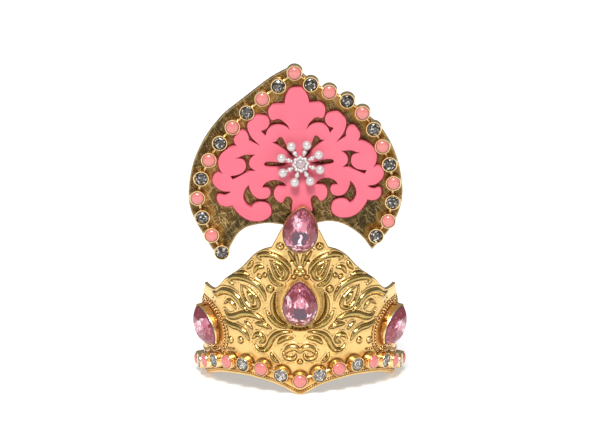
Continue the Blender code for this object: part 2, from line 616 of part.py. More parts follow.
def make_damask(finish, parent):
    """The drawn outline with its mirror image, less its openings, and then given its thickness."""
    outline = damask_outline(DAMASK_EDGE, False) + damask_outline(DAMASK_EDGE[1:], True)[::-1]
    openings = [damask_outline(opening, right) for opening in DAMASK_OPENINGS for right in (False, True)]
    points, edges = [], []
    for loop in [outline] + openings:
        first, count = len(points), len(loop)
        points += loop
        edges += [(first + j, first + (j + 1) % count) for j in range(count)]
    flat, triangles = triangulate(points, edges)
    kept = [t for t in triangles if inside(middle_of(t, flat), outline)
            and not any(inside(middle_of(t, flat), opening) for opening in openings)]
    made = make_object("damask_cutout", [(x, y, 0.0) for x, y in flat], kept, finish, parent)
    shape = bmesh.new()
    shape.from_mesh(made.data)
    bmesh.ops.delete(shape, geom=[v for v in shape.verts if not v.link_faces], context="VERTS")
    bmesh.ops.dissolve_limit(shape, angle_limit=radians(2.0), verts=shape.verts, edges=shape.edges)
    grown = bmesh.ops.extrude_face_region(shape, geom=shape.faces[:])
    top = [v for v in grown["geom"] if isinstance(v, bmesh.types.BMVert)]
    bmesh.ops.translate(shape, verts=top, vec=(0, 0, DAMASK_THICKNESS * MM))
    bmesh.ops.translate(shape, verts=shape.verts, vec=(0, 0, DAMASK_GAP * MM))
    bmesh.ops.recalc_face_normals(shape, faces=shape.faces)
    shape.to_mesh(made.data)
    shape.free()
    return made


def ball(radius, centre, rings=6):
    shape = bmesh.new()
    bmesh.ops.create_uvsphere(shape, u_segments=ROUND_SIDES, v_segments=rings, radius=radius,
                              matrix=Matrix.Translation(centre))
    points = [tuple(v.co) for v in shape.verts]
    faces = [tuple(v.index for v in f.verts) for f in shape.faces]
    shape.free()
    return points, faces


def make_flower(finish, parent):
    """Eight arms in one flat star, a stone in the middle and a small and a large pearl on each arm."""
    front = DAMASK_GAP + DAMASK_THICKNESS + GAP
    place = Matrix.Translation(Vector((*FLOWER, front)) * MM) @ Matrix.Rotation(FLOWER_TURN, 4, "Z")
    step = 2 * pi / FLOWER_ARMS
    root_radius = ARM_HALF_WIDTH / tan(step / 2)
    star, pearls = [], []
    for k in range(FLOWER_ARMS):
        along = Vector((cos(k * step), sin(k * step)))
        side = Vector((-along.y, along.x)) * ARM_HALF_WIDTH
        star += [tuple(along * ARM_LENGTH - side), tuple(along * ARM_LENGTH + side)]
        fork = (k + 0.5) * step
        reach = hypot(root_radius, ARM_HALF_WIDTH)
        star.append((reach * cos(fork), reach * sin(fork)))
        pearls.append(ball(END_PEARL, (*(along * ARM_LENGTH), PEARL_HEIGHT)))
        pearls.append(ball(ARM_PEARL, (*(along * ARM_PEARL_AT), PEARL_HEIGHT), 4))
    arms = sheet_solid(star, PEARL_HEIGHT - ARM_THICKNESS / 2, PEARL_HEIGHT + ARM_THICKNESS / 2)
    made = make_object("pearl_flower", *arms, finish, parent, place, radians(40))
    add_union(made, "flower_pearls", join_solids(pearls), None)
    middle = rings_to_solid([circle(FLOWER_MIDDLE * 0.7, 0.0), circle(FLOWER_MIDDLE, 1.2),
                             circle(FLOWER_MIDDLE, PEARL_HEIGHT + 0.4),
                             circle(FLOWER_MIDDLE * 0.55, PEARL_HEIGHT + 1.0)])
    add_union(made, "flower_middle", middle, None)
    for name in ("flower_pearls", "flower_middle"):
        guide = bpy.data.objects[name]
        guide.parent = parent
        guide.matrix_basis = place
    return made


def stand_on_floor(crown):
    """Puts the middle of the whole crown's box over the origin and its lowest point on the floor."""
    bpy.context.view_layer.update()
    shapes = bpy.context.evaluated_depsgraph_get()
    low, high = Vector((1e9, 1e9, 1e9)), Vector((-1e9, -1e9, -1e9))
    for part in [o for o in bpy.data.objects if o.type == "MESH" and not o.hide_render]:
        shape = part.evaluated_get(shapes)
        for v in shape.data.vertices:
            p = shape.matrix_world @ v.co
            low = Vector(map(min, low, p))
            high = Vector(map(max, high, p))
    crown.location = (-(low.x + high.x) / 2, -(low.y + high.y) / 2, -low.z)


def build():
    for old in list(bpy.data.objects):
        bpy.data.objects.remove(old, do_unlink=True)
    gold = material("gold_band", (0.83, 0.62, 0.28), 1.0, 0.3)
    cup_gold = material("gold_cups", (0.86, 0.6, 0.3), 1.0, 0.25)
    mirror = material("mirror_gold_sheet", (0.45, 0.36, 0.14), 1.0, 0.15)
    pink_sheet = material("pink_cutout", (0.93, 0.22, 0.33), 0.0, 0.6)
    rose = material("pink_cabochon", (0.93, 0.32, 0.34), 0.0, 0.2)
    clear = material("clear_crystal", (0.7, 0.72, 0.76), 0.0, 0.05)
    mauve = material("mauve_stone", (0.75, 0.28, 0.42), 0.0, 0.05)
    pearl = material("white_pearl", (0.93, 0.9, 0.88), 0.0, 0.2)

    crown = make_empty("crown")
    make_band(gold, crown)
    for row in PEARS:
        make_pear_set(*row, cup_gold, mauve, crown)
    make_chain("band_chain", band_chain_frames(), cup_gold, rose, clear, crown)

    sheet_place = wall_frame(0.0, PLAQUE_BASE, -PLAQUE_SET_BACK) @ Matrix.Rotation(PLAQUE_TURN, 4, "Z")
    sheet = make_empty("plaque_frame", crown, scaled_to_metres(sheet_place))
    make_plaque(mirror, sheet)
    make_damask(pink_sheet, sheet)
    make_flower(pearl, sheet)
    make_chain("plaque_chain", plaque_chain_frames(), cup_gold, rose, clear, sheet)
    stand_on_floor(crown)


build()
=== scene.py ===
"""Looks of the deity crown: a gilt band with raised scrolls, four pink pear stones, two cup chains, a leaf of
gold mirror sheet, a pink damask cut-out and a pearl flower. Tables are in millimetres, pieces in metres."""
import math
import random

import bmesh
import bpy
import numpy as np
from bpy.props import FloatProperty, FloatVectorProperty, IntProperty, PointerProperty
from mathutils import Matrix, Vector, geometry


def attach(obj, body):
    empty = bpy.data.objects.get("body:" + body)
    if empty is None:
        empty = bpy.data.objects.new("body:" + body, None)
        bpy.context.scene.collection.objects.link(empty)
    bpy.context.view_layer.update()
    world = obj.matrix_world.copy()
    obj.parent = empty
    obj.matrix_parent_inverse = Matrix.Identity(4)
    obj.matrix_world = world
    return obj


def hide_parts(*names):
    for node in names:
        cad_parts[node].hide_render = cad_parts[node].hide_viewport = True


bl_info = {
    "name": "Deity crown",
    "version": (1, 0, 0),
    "blender": (4, 5, 0),
    "location": "3D View > Sidebar > Crown",
    "description": "Makes the pieces and finishes of a small gilt deity crown",
    "category": "Object",
}

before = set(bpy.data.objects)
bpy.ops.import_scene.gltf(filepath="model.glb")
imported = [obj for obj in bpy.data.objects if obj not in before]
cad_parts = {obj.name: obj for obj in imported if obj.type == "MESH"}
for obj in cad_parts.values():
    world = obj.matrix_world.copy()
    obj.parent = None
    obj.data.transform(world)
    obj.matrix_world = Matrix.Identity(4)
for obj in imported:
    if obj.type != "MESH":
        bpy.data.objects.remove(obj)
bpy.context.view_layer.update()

MM = 0.001

# Band: outer radius at the floor, lean, wall, and where its centre of curvature lies behind the origin
BAND_RADIUS = 29.0
BAND_LEAN = math.radians(5.0)
BAND_WALL = 1.1
BAND_CENTRE_Y = 18.383

# Half of the band's outline, unrolled: s along the rim from the middle, h up the wall
LOWER_RIM = [(0.8, 0.0), (2.7, 1.0), (5.1, 2.3), (8.1, 3.4), (11.6, 4.2), (16.8, 4.8), (22.9, 4.5),
             (28.2, 3.7), (33.0, 2.4), (38.0, 0.9), (41.5, 0.0), (45.0, 0.0), (48.0, 0.0)]
BAND_END = [(48.3, 4.0), (48.3, 9.0), (47.6, 14.0)]
UPPER_RIM = [(45.5, 18.0), (41.5, 21.6), (37.5, 25.0), (35.0, 28.4), (33.7, 31.0), (31.2, 30.4),
             (28.5, 30.3), (26.0, 31.4), (23.0, 34.2), (20.0, 36.3), (17.3, 38.3), (15.0, 40.6),
             (12.7, 43.2), (10.3, 45.0), (7.6, 46.0), (6.2, 48.8), (4.7, 52.0), (2.6, 54.8), (0.0, 55.8)]
RIM_CORNERS = [(0.8, 0.0), (41.5, 0.0), (48.0, 0.0), (33.7, 31.0), (7.6, 46.0)]

# Raised scrolls on one half, unrolled: name, half width, points (s, h). The other half is their mirror image.
SCROLLS = [
    ("upper_hook", 0.62, [(10.6, 42.0), (11.2, 43.0), (9.5, 43.7), (7.0, 43.4), (4.6, 42.1), (3.0, 40.2),
                          (2.5, 38.2)]),
    ("upper_drop", 0.42, [(8.0, 41.9), (5.2, 40.9), (3.6, 38.7), (3.8, 36.9), (5.1, 36.2), (6.4, 37.3),
                          (7.2, 39.6), (7.8, 41.2)]),
    ("upper_seed", 0.5, [(6.5, 40.6), (5.4, 39.2), (4.9, 37.6)]),
    ("upper_sweep", 0.5, [(8.6, 39.3), (7.8, 36.3), (6.4, 34.7), (4.7, 34.3)]),
    ("small_scroll", 0.45, [(12.6, 37.8), (11.6, 39.5), (9.9, 39.6)]),
    ("edge_leaf", 0.5, [(13.0, 41.2), (13.6, 40.0), (14.6, 38.8)]),
    ("side_leaf", 0.5, [(17.8, 37.1), (16.1, 37.3), (14.2, 36.8)]),
    ("lower_hook", 0.72, [(19.6, 33.2), (20.9, 34.2), (19.4, 35.4), (16.7, 35.7), (13.9, 35.1),
                          (11.5, 33.7), (10.1, 31.5), (9.6, 29.5)]),
    ("lower_drop", 0.42, [(16.9, 33.4), (16.6, 30.6), (15.5, 28.0), (13.5, 26.6), (11.8, 27.4),
                          (12.1, 29.7), (14.3, 32.2), (16.2, 33.3)]),
    ("lower_seed", 0.62, [(15.0, 31.4), (14.0, 29.8), (13.4, 28.2)]),
    ("long_wave", 0.85, [(28.4, 29.2), (26.6, 28.9), (23.6, 30.4), (20.6, 30.4), (18.3, 29.0),
                         (17.0, 26.9), (15.2, 25.3)]),
    ("middle_wave", 0.82, [(23.6, 24.3), (21.9, 22.8), (19.6, 23.1), (17.0, 24.3), (14.0, 24.6),
                           (11.6, 23.8), (10.0, 22.6)]),
    ("middle_curl", 0.5, [(23.4, 26.6), (21.5, 27.8), (20.0, 26.9), (19.2, 25.6)]),
    ("flame", 0.65, [(9.4, 26.0), (8.2, 23.9), (6.4, 22.1), (4.0, 20.9)]),
    ("low_leaf", 0.6, [(12.8, 21.9), (10.6, 21.7), (8.3, 20.7)]),
    ("small_leaf", 0.42, [(16.3, 22.0), (15.1, 21.2), (13.9, 20.0)]),
    ("lower_wave", 0.72, [(23.9, 21.3), (21.5, 20.1), (18.5, 19.7), (16.5, 18.5), (15.2, 16.4)]),
    ("low_curl", 0.62, [(13.9, 17.1), (12.6, 18.4), (11.1, 18.0), (10.6, 16.6), (11.8, 16.0)]),
    ("low_hook", 0.62, [(13.4, 15.4), (12.3, 13.9), (10.4, 13.8), (9.1, 15.2), (8.2, 17.1), (6.9, 18.7),
                        (4.9, 19.6), (2.4, 19.9)]),
    ("brow", 0.6, [(6.3, 16.1), (4.7, 17.6), (2.1, 18.0)]),
    ("spiral", 0.88, [(0.1, 13.4), (0.9, 14.5), (2.2, 14.9), (3.5, 14.3), (4.3, 13.0)]),
    ("spiral_foot", 0.52, [(4.75, 13.5), (4.55, 12.2), (3.6, 11.4), (2.4, 11.3), (1.5, 11.8), (1.15, 12.8)]),
    ("foot_curl", 0.45, [(8.4, 12.8), (7.8, 11.2), (6.3, 10.0)]),
    ("gem_ring", 0.5, [(6.9, 31.8), (7.6, 29.0), (7.4, 25.8), (5.9, 23.2), (3.8, 21.9)]),
    ("outer_flute", 0.32, [(3.0, 44.9), (1.7, 42.4), (0.95, 40.4)]),
    ("inner_flute", 0.32, [(1.35, 45.0), (0.85, 42.6), (0.45, 40.9)]),
]

# Raised domes on one half and on the middle line, unrolled: s, h, radius
DOMES = [(0.0, 39.6, 0.75), (0.82, 38.3, 0.72), (0.0, 37.7, 0.6), (1.7, 36.9, 0.6), (8.2, 33.0, 0.95),
         (11.2, 36.6, 0.6), (9.6, 37.2, 0.55), (18.3, 15.8, 0.9), (22.1, 15.2, 0.85), (0.0, 10.4, 0.6),
         (5.2, 46.4, 0.9)]

# Small pits in the wall on one half, unrolled: s, h, radius
PITS = [(0.0, 20.9, 0.75), (1.1, 21.0, 0.6), (2.1, 21.3, 0.4), (5.2, 46.4, 0.45), (28.9, 27.4, 0.4),
        (28.0, 26.2, 0.35), (29.4, 25.6, 0.35), (28.6, 24.6, 0.4), (29.9, 24.0, 0.3), (27.6, 24.0, 0.3),
        (2.2, 41.9, 0.55), (18.3, 15.8, 0.3), (22.1, 15.2, 0.25)]

# Section of a scroll: it tapers towards its tips, and its thin stretches stay low. How polished a scroll is
# sets how smooth it is and how much of the scroll gold, a painted dark olive reflection, shows on it; most
# scrolls have it in full.
SCROLL_TAPER = 3.2
TAPER_POWER = 0.6
THINNEST_TIP = 0.05
FULL_HEIGHT_WIDTH = 0.5
LOWEST_CREST = 0.3
SCROLL_ROUNDNESS = 0.8
DOME_ROUNDNESS = 0.5
SPIRAL_POLISH_AND_REFLECTION = 0.4
DOME_POLISH_AND_REFLECTION = 0.5

# Chased lines: distance outside a scroll or inside the rim, and width
GROOVE_LINE = (0.08, 0.2)
ECHO_LINE = (0.85, 0.2)
RIM_LINE = (0.8, 0.2)

# Where the raised leaf under a scroll ends, and where it is at its full height
LEAF_BORDER = (0.95, 0.65)

# How deep each kind of chasing lies in the wall
ECHO_DEPTH = 0.1
PIT_DEPTH = 0.5
DISH_DEPTH = 0.25
BEAD_BED_DEPTH = 0.12
RIM_LINE_DEPTH = 0.12

# The band's edge is rounded by this much over this width, and its relief fades out between two distances
RIM_ROUNDING = 0.25
RIM_ROUND_WIDTH = 0.5
RELIEF_FADE = (0.1, 0.7)

# Fades of the band's masks in millimetres, from where a mask is 0 to where it is full
CENTRE_STONE_SHADE = (1.3, 0.3)
SIDE_STONE_SHADE = (2.1, 0.9)
SIDE_STONE_HALO = (3.8, 2.0)
CHAIN_SHADE_LOW = (1.8, 2.4)
CHAIN_SHADE_HIGH = (7.8, 6.0)
CUP_CONTACT = (3.3, 2.6)
DISH_INNER = (0.2, 0.6)
DISH_OUTER = (2.5, 2.2)
DISH_BELOW_TIP = (5.5, 3.0)
# Where the painted highlight on the band's ears fades in, across and upwards
EAR_ACROSS = (24.0, 29.0)
EAR_UPWARDS = (24.5, 28.0)

# Beaded lines: distance above the lower rim or outside a side stone, pitch, radius; and the width of the
# shallow bed beside the beads
RIM_BEADS = (1.15, 0.74, 0.29)
CHAIN_BEADS = (7.9, 0.95, 0.27)
CHAIN_BEADS_START = 19.0
STONE_BEADS = [(1.5, 1.0, 0.34), (2.7, 1.1, 0.26)]
BEAD_BED = 0.28

# Pear stones: the half width goes as sin t times sin t/2 to the power of the fullness, over its widest value.
# The tips of the side stones lean outwards.
PEAR_WIDTH = 10.4
PEAR_LENGTH = 13.8
PEAR_FULLNESS = 0.45
PEAR_WIDEST = 0.874
PEAR_STEPS = 48
PEAR_SIZES = {"centre": 1.0, "upper": 1.0, "left": 0.95, "right": 0.95}
SIDE_STONE = (31.5, 18.2)
SIDE_STONE_TURN = math.radians(25.0)
CENTRE_STONE = (0.0, 29.4)

# Reflections seen in each pear stone, in its half widths and half lengths from its middle: x, y, half width,
# half height, and tone from dark (0) to white (1). The first that covers a facet gives its tone.
GEM_GLEAMS = {
    "upper": [(0.03, -0.33, 0.09, 0.26, 1.0), (0.0, -0.26, 0.42, 0.28, 0.03), (-0.24, 0.42, 0.24, 0.20, 0.93),
              (-0.06, 0.26, 0.40, 0.30, 0.76)],
    "centre": [(0.0, -0.34, 0.40, 0.26, 0.03), (0.03, 0.06, 0.42, 0.16, 0.8), (0.03, 0.30, 0.2, 0.12, 0.8),
               (-0.62, 0.18, 0.12, 0.22, 0.92)],
    "left": [(0.0, 0.64, 1.0, 0.36, 0.36), (0.1, 0.08, 1.0, 0.22, 0.86), (0.0, -0.6, 1.0, 0.46, 0.50)],
    "right": [(0.0, 0.64, 1.0, 0.36, 0.36), (0.2, 0.08, 0.9, 0.24, 0.88), (0.0, -0.6, 1.0, 0.60, 0.50)]}

# Facets of the cut stones: rings of (scale, height, sides) from the foot up, closed by a tip. A pear stone's
# top lies its rise over the height that its rings count from. Tones go from dark (0) to white (1) and paint
# the reflections, sparkles and shade that the facets show; the foot tones are painted shade at the stone's
# edge.
GEM_RINGS = [(1.0, -0.9, 36), (1.0, 0.05, 36), (0.955, 0.38, 36), (0.86, 1.05, 30), (0.74, 1.72, 26),
             (0.62, 2.22, 22), (0.50, 2.46, 18), (0.37, 2.40, 15), (0.24, 2.47, 11), (0.11, 2.43, 7)]
GEM_TIP = 2.46
GEM_RISE = 2.5
GEM_CLEARANCE = 0.08
GEM_SHADED_FOOT_TONES = (0.04, 0.2)
GLITTER_TONES = (0.3, 0.38, 0.45, 0.6, 0.75, 0.95)
TIP_TONES = (0.3, 0.42, 0.5, 0.62, 0.72)
SIDE_TONE = 0.38
CRYSTAL_RINGS = [(1.0, 0.0, 16), (1.0, 0.72, 16), (0.86, 0.96, 16), (0.66, 1.17, 12), (0.45, 1.27, 9),
                 (0.2, 1.22, 6)]
CRYSTAL_TIP = 1.25
CRYSTAL_CLEARANCE = 0.04
CRYSTAL_TONES = {"band_chain": (0.08, 0.12, 0.18, 0.28, 0.4, 0.6, 1.0),
                 "plaque_chain": (0.0, 0.01, 0.02, 0.04, 0.07, 0.13, 0.26, 0.85)}
CRYSTAL_SHADED_FOOT_TONE = 0.1
CRYSTAL_SEED = 7

# Cup chains: how far the foot of a stone lies above the foot of its cup, and the cup's sizes
CUP_FOOT_TO_STONE = 1.38
CUP_RADIUS = 2.3
CUP_HEIGHT = 2.5
CUP_WALL = [(2.42, 0.0), (2.48, 0.3), (2.46, 0.9), (2.38, 1.6), (2.3, 2.15)]
CUP_BORES = {"band_chain": 1.97, "plaque_chain": 1.9}
CHAIN_SIZES = {"band_chain": 8, "plaque_chain": 11}
LINK_HEIGHT = 0.45
LINK_INSET = 1.9
LINK_PROFILE = [(0.34, 0.0), (0.4, 0.1), (0.4, 0.9), (0.34, 1.0)]
CABOCHON_LIFT = 0.93
CABOCHON_RISE = 1.0
CABOCHON_CLEARANCE = 0.03

# Mirror plaque: how finely its front is divided, its bevel, and the depth that still counts as its front
PLAQUE_GRID = 0.45
PLAQUE_BEVEL = 0.1
PLAQUE_FRONT = 0.15

# Fades of the plaque's masks of painted reflection, shadow and highlight, and how far the painted shadow and
# reflection of the cut-out lies below its edge
CUP_IMAGE = (4.4, 2.3)
CUTOUT_IMAGE = (0.9, 0.1)
CUTOUT_IMAGE_DROP = 0.35
BRIGHT_RIM = (0.45, 0.05)
# Where the painted darker reflection lies: to the right, at the foot, and along the outer left rim
DIM_RIGHT = (-5.0, 20.0)
DIM_FOOT = (24.0, 12.0)
DARK_RIM = (5.5, 3.0)
DARK_RIM_ACROSS = (4.0, -8.0)
DARK_RIM_UPWARDS = (14.0, 24.0)

# Strokes of the scratches as (turn in degrees, scale), how they are drawn out, and the cut-out's bevel
MIRROR_STROKES = [(58.0, 1100.0), (44.0, 1250.0), (-48.0, 1450.0), (76.0, 1350.0), (-12.0, 1500.0)]
STROKE_STRETCH = (8.0, 1.0, 0.24)
DAMASK_BEVEL = 0.18

# Pearl flower: a pearl and five beads on each arm, as distance from the middle, height, radius, and turn from
# the arm, in arms. The pearls' middles lie a little below the flower's highest point.
FLOWER_ARMS = 8
ARM_PEARLS = [(5.9, 0.0, 1.38, 0.0)]
ARM_BEADS = [(4.4, -0.1, 0.36, 0.0), (3.65, 0.0, 0.72, 0.0), (2.85, -0.05, 0.45, 0.0), (2.0, 0.2, 0.6, 0.5),
             (1.75, 0.35, 0.5, 0.0)]
PEARL_BELOW_TOP = 1.35
HUB_PROFILE = [(1.3, -2.0), (1.9, -0.8), (1.75, 0.1), (1.3, 0.3)]
HEART_RADIUS = 1.35
HEART_RISE = 0.9
HEART_LIFT = 0.2

# Camera of the photograph, in millimetres and degrees
CAMERA_PLACE = (0.0, -784.43, 209.713)
CAMERA_DOWN = 11.4
CAMERA_LENS = 160.0
SENSOR_WIDTH = 36.0


def colour_property(name, description, default):
    return FloatVectorProperty(name=name, description=description, subtype="COLOR", size=3, min=0.0, max=1.0,
                               default=default)


def length_property(name, description, default):
    return FloatProperty(name=name, description=description, unit="LENGTH", min=0.0, default=default)


class CrownBandSettings(bpy.types.PropertyGroup):
    scroll_height: length_property("Scroll height", "How far the scrolls stand out of the wall", 0.0006)
    plateau_height: length_property("Leaf height", "Soft raised leaf that each scroll lies on", 0.0002)
    groove_depth: length_property("Groove depth", "Depth of the chased line round each scroll", 0.00022)
    grid_step: length_property("Grid step", "Spacing of the points on the band's front", 0.000225)
    gold: colour_property("Gold", "Gilt ground of the band", (0.89, 0.61, 0.24))
    # The scroll gold is a painted dark olive reflection on the polished scrolls
    olive: colour_property("Scroll gold", "Polished gilt on the raised scrolls", (0.46, 0.35, 0.12))
    # This colour is painted shade in the chased lines, pits and bead beds, and round each cup's foot
    recess_shade: colour_property("Recess", "Deep lines of the chasing", (0.16, 0.075, 0.015))
    warm: colour_property("Warm tint", "Gilt in the shade of the settings", (0.66, 0.30, 0.055))
    dish: colour_property("Dish", "Granulated gilt round the middle stone", (0.36, 0.24, 0.07))
    # Pale gold is a painted highlight on the band's ears, where the gilt looks blown out
    pale: colour_property("Pale gold", "Highlighted gilt of the band's ears", (0.98, 0.80, 0.48))


class CrownSettingSettings(bpy.types.PropertyGroup):
    cup_sides: IntProperty(name="Cup sides", description="Sides of a round cup", default=28, min=12)
    gold: colour_property("Gold", "Gilt of the cups and bezels", (0.93, 0.68, 0.34))
    # This colour is painted shade deep down in and between the settings
    recess_shade: colour_property("Recess", "Gilt deep down between the settings", (0.58, 0.26, 0.055))
    bead_size: FloatProperty(name="Bead size", description="Size of the small beads of the beaded lines",
                             default=1.0, min=0.1)


class CrownStoneSettings(bpy.types.PropertyGroup):
    cabochon: colour_property("Cabochon", "Salmon pink of the round cabochons", (0.64, 0.197, 0.18))
    # The pear stones' colours paint the reflections, sparkles and shade that their facets show
    gem_white: colour_property("Gem, white", "Sparkling facets of the pear stones", (0.90, 0.70, 0.78))
    gem_light: colour_property("Gem, light", "Bright facets of the pear stones", (0.60, 0.20, 0.275))
    gem_middle: colour_property("Gem, middle", "Most facets of the pear stones", (0.235, 0.047, 0.062))
    gem_dark: colour_property("Gem, dark", "Dark facets of the pear stones", (0.085, 0.055, 0.08))
    # The clear stones' colours paint the reflections, sparkles and shade that their facets show
    crystal_light: colour_property("Crystal, light", "Bright facets of the clear stones", (0.78, 0.75, 0.70))
    crystal_dark: colour_property("Crystal, dark", "Dark facets of the clear stones", (0.036, 0.030, 0.026))
    pearl: colour_property("Pearl", "White of the pearls", (0.54, 0.48, 0.47))
    pearl_heart: colour_property("Flower's heart", "Greyish pink of the flower's heart", (0.40, 0.30, 0.31))


class CrownSheetSettings(bpy.types.PropertyGroup):
    # The mirror's dark base is a painted reflection of dark surroundings
    mirror_dark_reflection: colour_property("Mirror, dark", "Dark olive of the mirror sheet", (0.07, 0.04, 0.013))
    # A painted darker, greener reflection on the mirror to the right, at the foot and along the outer left
    # rim
    mirror_green: colour_property("Mirror, green", "Greenish tone at the right and the foot",
                                  (0.024, 0.023, 0.011))
    # A painted reflection of the cups in the mirror
    mirror_cup_reflection: colour_property("Mirror, glow", "Orange image of the cups", (0.34, 0.145, 0.02))
    # The cut-out's painted shadow and reflection on the mirror, just below its edges
    mirror_cutout_shadow: colour_property("Mirror, pink", "Dark red image of the cut-out's edge", (0.20, 0.025, 0.03))
    mirror_gold: colour_property("Mirror, gold", "Gold of the fine scratches", (0.60, 0.41, 0.175))
    # A painted highlight along the mirror's cut edge
    mirror_rim_highlight: colour_property("Mirror, rim", "Bright cut edge of the mirror sheet", (0.80, 0.58, 0.28))
    damask: colour_property("Cut-out", "Pink of the damask cut-out", (0.71, 0.14, 0.195))


class CrownStageSettings(bpy.types.PropertyGroup):
    floor: colour_property("Floor", "Pale floor", (0.95, 0.95, 0.95))
    floor_glow: FloatProperty(name="Floor glow", description="Light from below, which keeps shadows pale",
                              default=0.32)
    sun_strength: FloatProperty(name="Main light", description="Strength of the main light", default=3.35)
    sun_height: FloatProperty(name="Main light height", description="Angle of the main light above the floor",
                              subtype="ANGLE", default=math.radians(47.0))
    sun_size: FloatProperty(name="Main light size", description="Angle that the main light covers",
                            subtype="ANGLE", default=math.radians(18.0))
    sky_strength: FloatProperty(name="Surroundings", description="Strength of the surroundings", default=0.25)


class Signal:
    """A socket of a material that takes part in arithmetic."""

    def __init__(self, finish, socket):
        self.finish = finish
        self.socket = socket

    def math(self, operation, *values):
        fed = dict(enumerate(values))
        return self.finish.node("Math", {"operation": operation}, fed)

    def __add__(self, other):
        return self.math("ADD", self, other)

    def __radd__(self, other):
        return self.math("ADD", other, self)

    def __sub__(self, other):
        return self.math("SUBTRACT", self, other)

    def __rsub__(self, other):
        return self.math("SUBTRACT", other, self)

    def __mul__(self, other):
        return self.math("MULTIPLY", self, other)

    def __rmul__(self, other):
        return self.math("MULTIPLY", other, self)

    def ramp(self, low, high, start=0.0, end=1.0):
        """Goes smoothly from start to end as the signal goes from low to high."""
        fed = {"Value": self, "From Min": low, "From Max": high, "To Min": start, "To Max": end}
        return self.finish.node("MapRange", {"interpolation_type": "SMOOTHSTEP"}, fed)


class Finish:
    """One material: fixed values go on its shader's sockets, and what varies comes from expressions."""

    def __init__(self, name, **fixed):
        self.material = bpy.data.materials.new(name)
        self.material.use_nodes = True
        self.tree = self.material.node_tree
        self.shader = self.tree.nodes["Principled BSDF"]
        for label, value in fixed.items():
            self.shader.inputs[label.replace("_", " ").title().replace("Ior", "IOR")].default_value = value
        self.place = self.node("TexCoord", output=3)

    def node(self, kind, settings=None, values=None, output=0):
        made = self.tree.nodes.new("ShaderNode" + kind)
        for key, value in (settings or {}).items():
            setattr(made, key, value)
        for key, value in (values or {}).items():
            self.feed(made.inputs[key], value)
        return Signal(self, made.outputs[output])

    def feed(self, socket, value):
        if isinstance(value, Signal):
            self.tree.links.new(value.socket, socket)
        elif socket.type == "RGBA" and len(value) == 3:
            socket.default_value = (*value, 1.0)
        else:
            socket.default_value = value

    def mix(self, share, low, high):
        return self.node("Mix", {"data_type": "RGBA"}, {0: share, 6: low, 7: high}, output=2)

    def noise(self, scale, detail=3.0, stretch=None, turn=0.0):
        """Soft noise over the piece, in its own metres; a stretch draws it out into streaks."""
        where = self.place
        if stretch is not None:
            where = self.node("Mapping", {"vector_type": "TEXTURE"},
                              {"Vector": where, "Rotation": (0.0, turn, 0.0), "Scale": stretch})
        return self.node("TexNoise", {}, {"Vector": where, "Scale": scale, "Detail": detail})

    def attribute(self, name):
        return self.node("Attribute", {"attribute_name": name}, output=2)

    def varies(self, label, value):
        self.feed(self.shader.inputs[label], value)

    def bump(self, height, strength, distance):
        made = self.node("Bump", {}, {"Height": height, "Strength": strength, "Distance": distance})
        self.feed(self.shader.inputs["Normal"], made)


def tinted(colour, *factors):
    """A colour made lighter or darker by one factor, or by one for each of red, green and blue."""
    factors = factors * 3 if len(factors) == 1 else factors
    return tuple(min(1.0, factor * c) for factor, c in zip(factors, colour))


def deselect():
    if bpy.context.object is not None and bpy.context.object.mode != "OBJECT":
        bpy.ops.object.mode_set(mode="OBJECT")
    bpy.ops.object.select_all(action="DESELECT")


def activate(piece):
    deselect()
    piece.select_set(True)
    bpy.context.view_layer.objects.active = piece


def make_piece(name, points, faces, smooth_angle=None):
    """A piece from points in metres; its object sits at the origin."""
    mesh = bpy.data.meshes.new(name)
    mesh.from_pydata(points, [], faces)
    piece = bpy.data.objects.new(name, mesh)
    bpy.context.scene.collection.objects.link(piece)
    if smooth_angle is not None:
        activate(piece)
        bpy.ops.object.shade_smooth_by_angle(angle=smooth_angle)
    return piece


def paint(piece, name, values, domain="POINT"):
    """Keeps a value for each point or face of a piece, for its finish to read."""
    layer = piece.data.attributes.new(name, "FLOAT", domain)
    layer.data.foreach_set("value", np.asarray(values, np.float32))


def settle(piece, finish, slot, *nodes):
    """Gives a finished piece its material and its body, and hides the nodes that it stands for."""
    piece.data.materials.clear()
    piece.data.materials.append(finish.material)
    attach(piece, "root")
    if nodes:
        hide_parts(*nodes)
    return piece


def turned(name, sides, profile, outline=None):
    """A disc, extruded and scaled along a profile of (radius, height) in millimetres, closed at both ends."""
    deselect()
    bpy.ops.mesh.primitive_circle_add(vertices=sides, radius=1.0, fill_type="NGON")
    piece = bpy.context.object
    piece.name = name
    if outline is not None:
        for vertex, (x, y) in zip(piece.data.vertices, outline):
            vertex.co = (x, y, 0.0)
    bpy.ops.object.mode_set(mode="EDIT")
    bpy.ops.mesh.select_all(action="SELECT")
    radius, height = profile[0]
    bpy.ops.transform.resize(value=(radius, radius, 1.0), center_override=(0, 0, 0))
    bpy.ops.transform.translate(value=(0.0, 0.0, height))
    for next_radius, next_height in profile[1:]:
        bpy.ops.mesh.extrude_region_move(TRANSFORM_OT_translate={"value": (0.0, 0.0, next_height - height)})
        grow = next_radius / radius
        bpy.ops.transform.resize(value=(grow, grow, 1.0), center_override=(0, 0, 0))
        radius, height = next_radius, next_height
    bpy.ops.mesh.select_all(action="SELECT")
    bpy.ops.mesh.normals_make_consistent(inside=False)
    bpy.ops.object.mode_set(mode="OBJECT")
    return piece


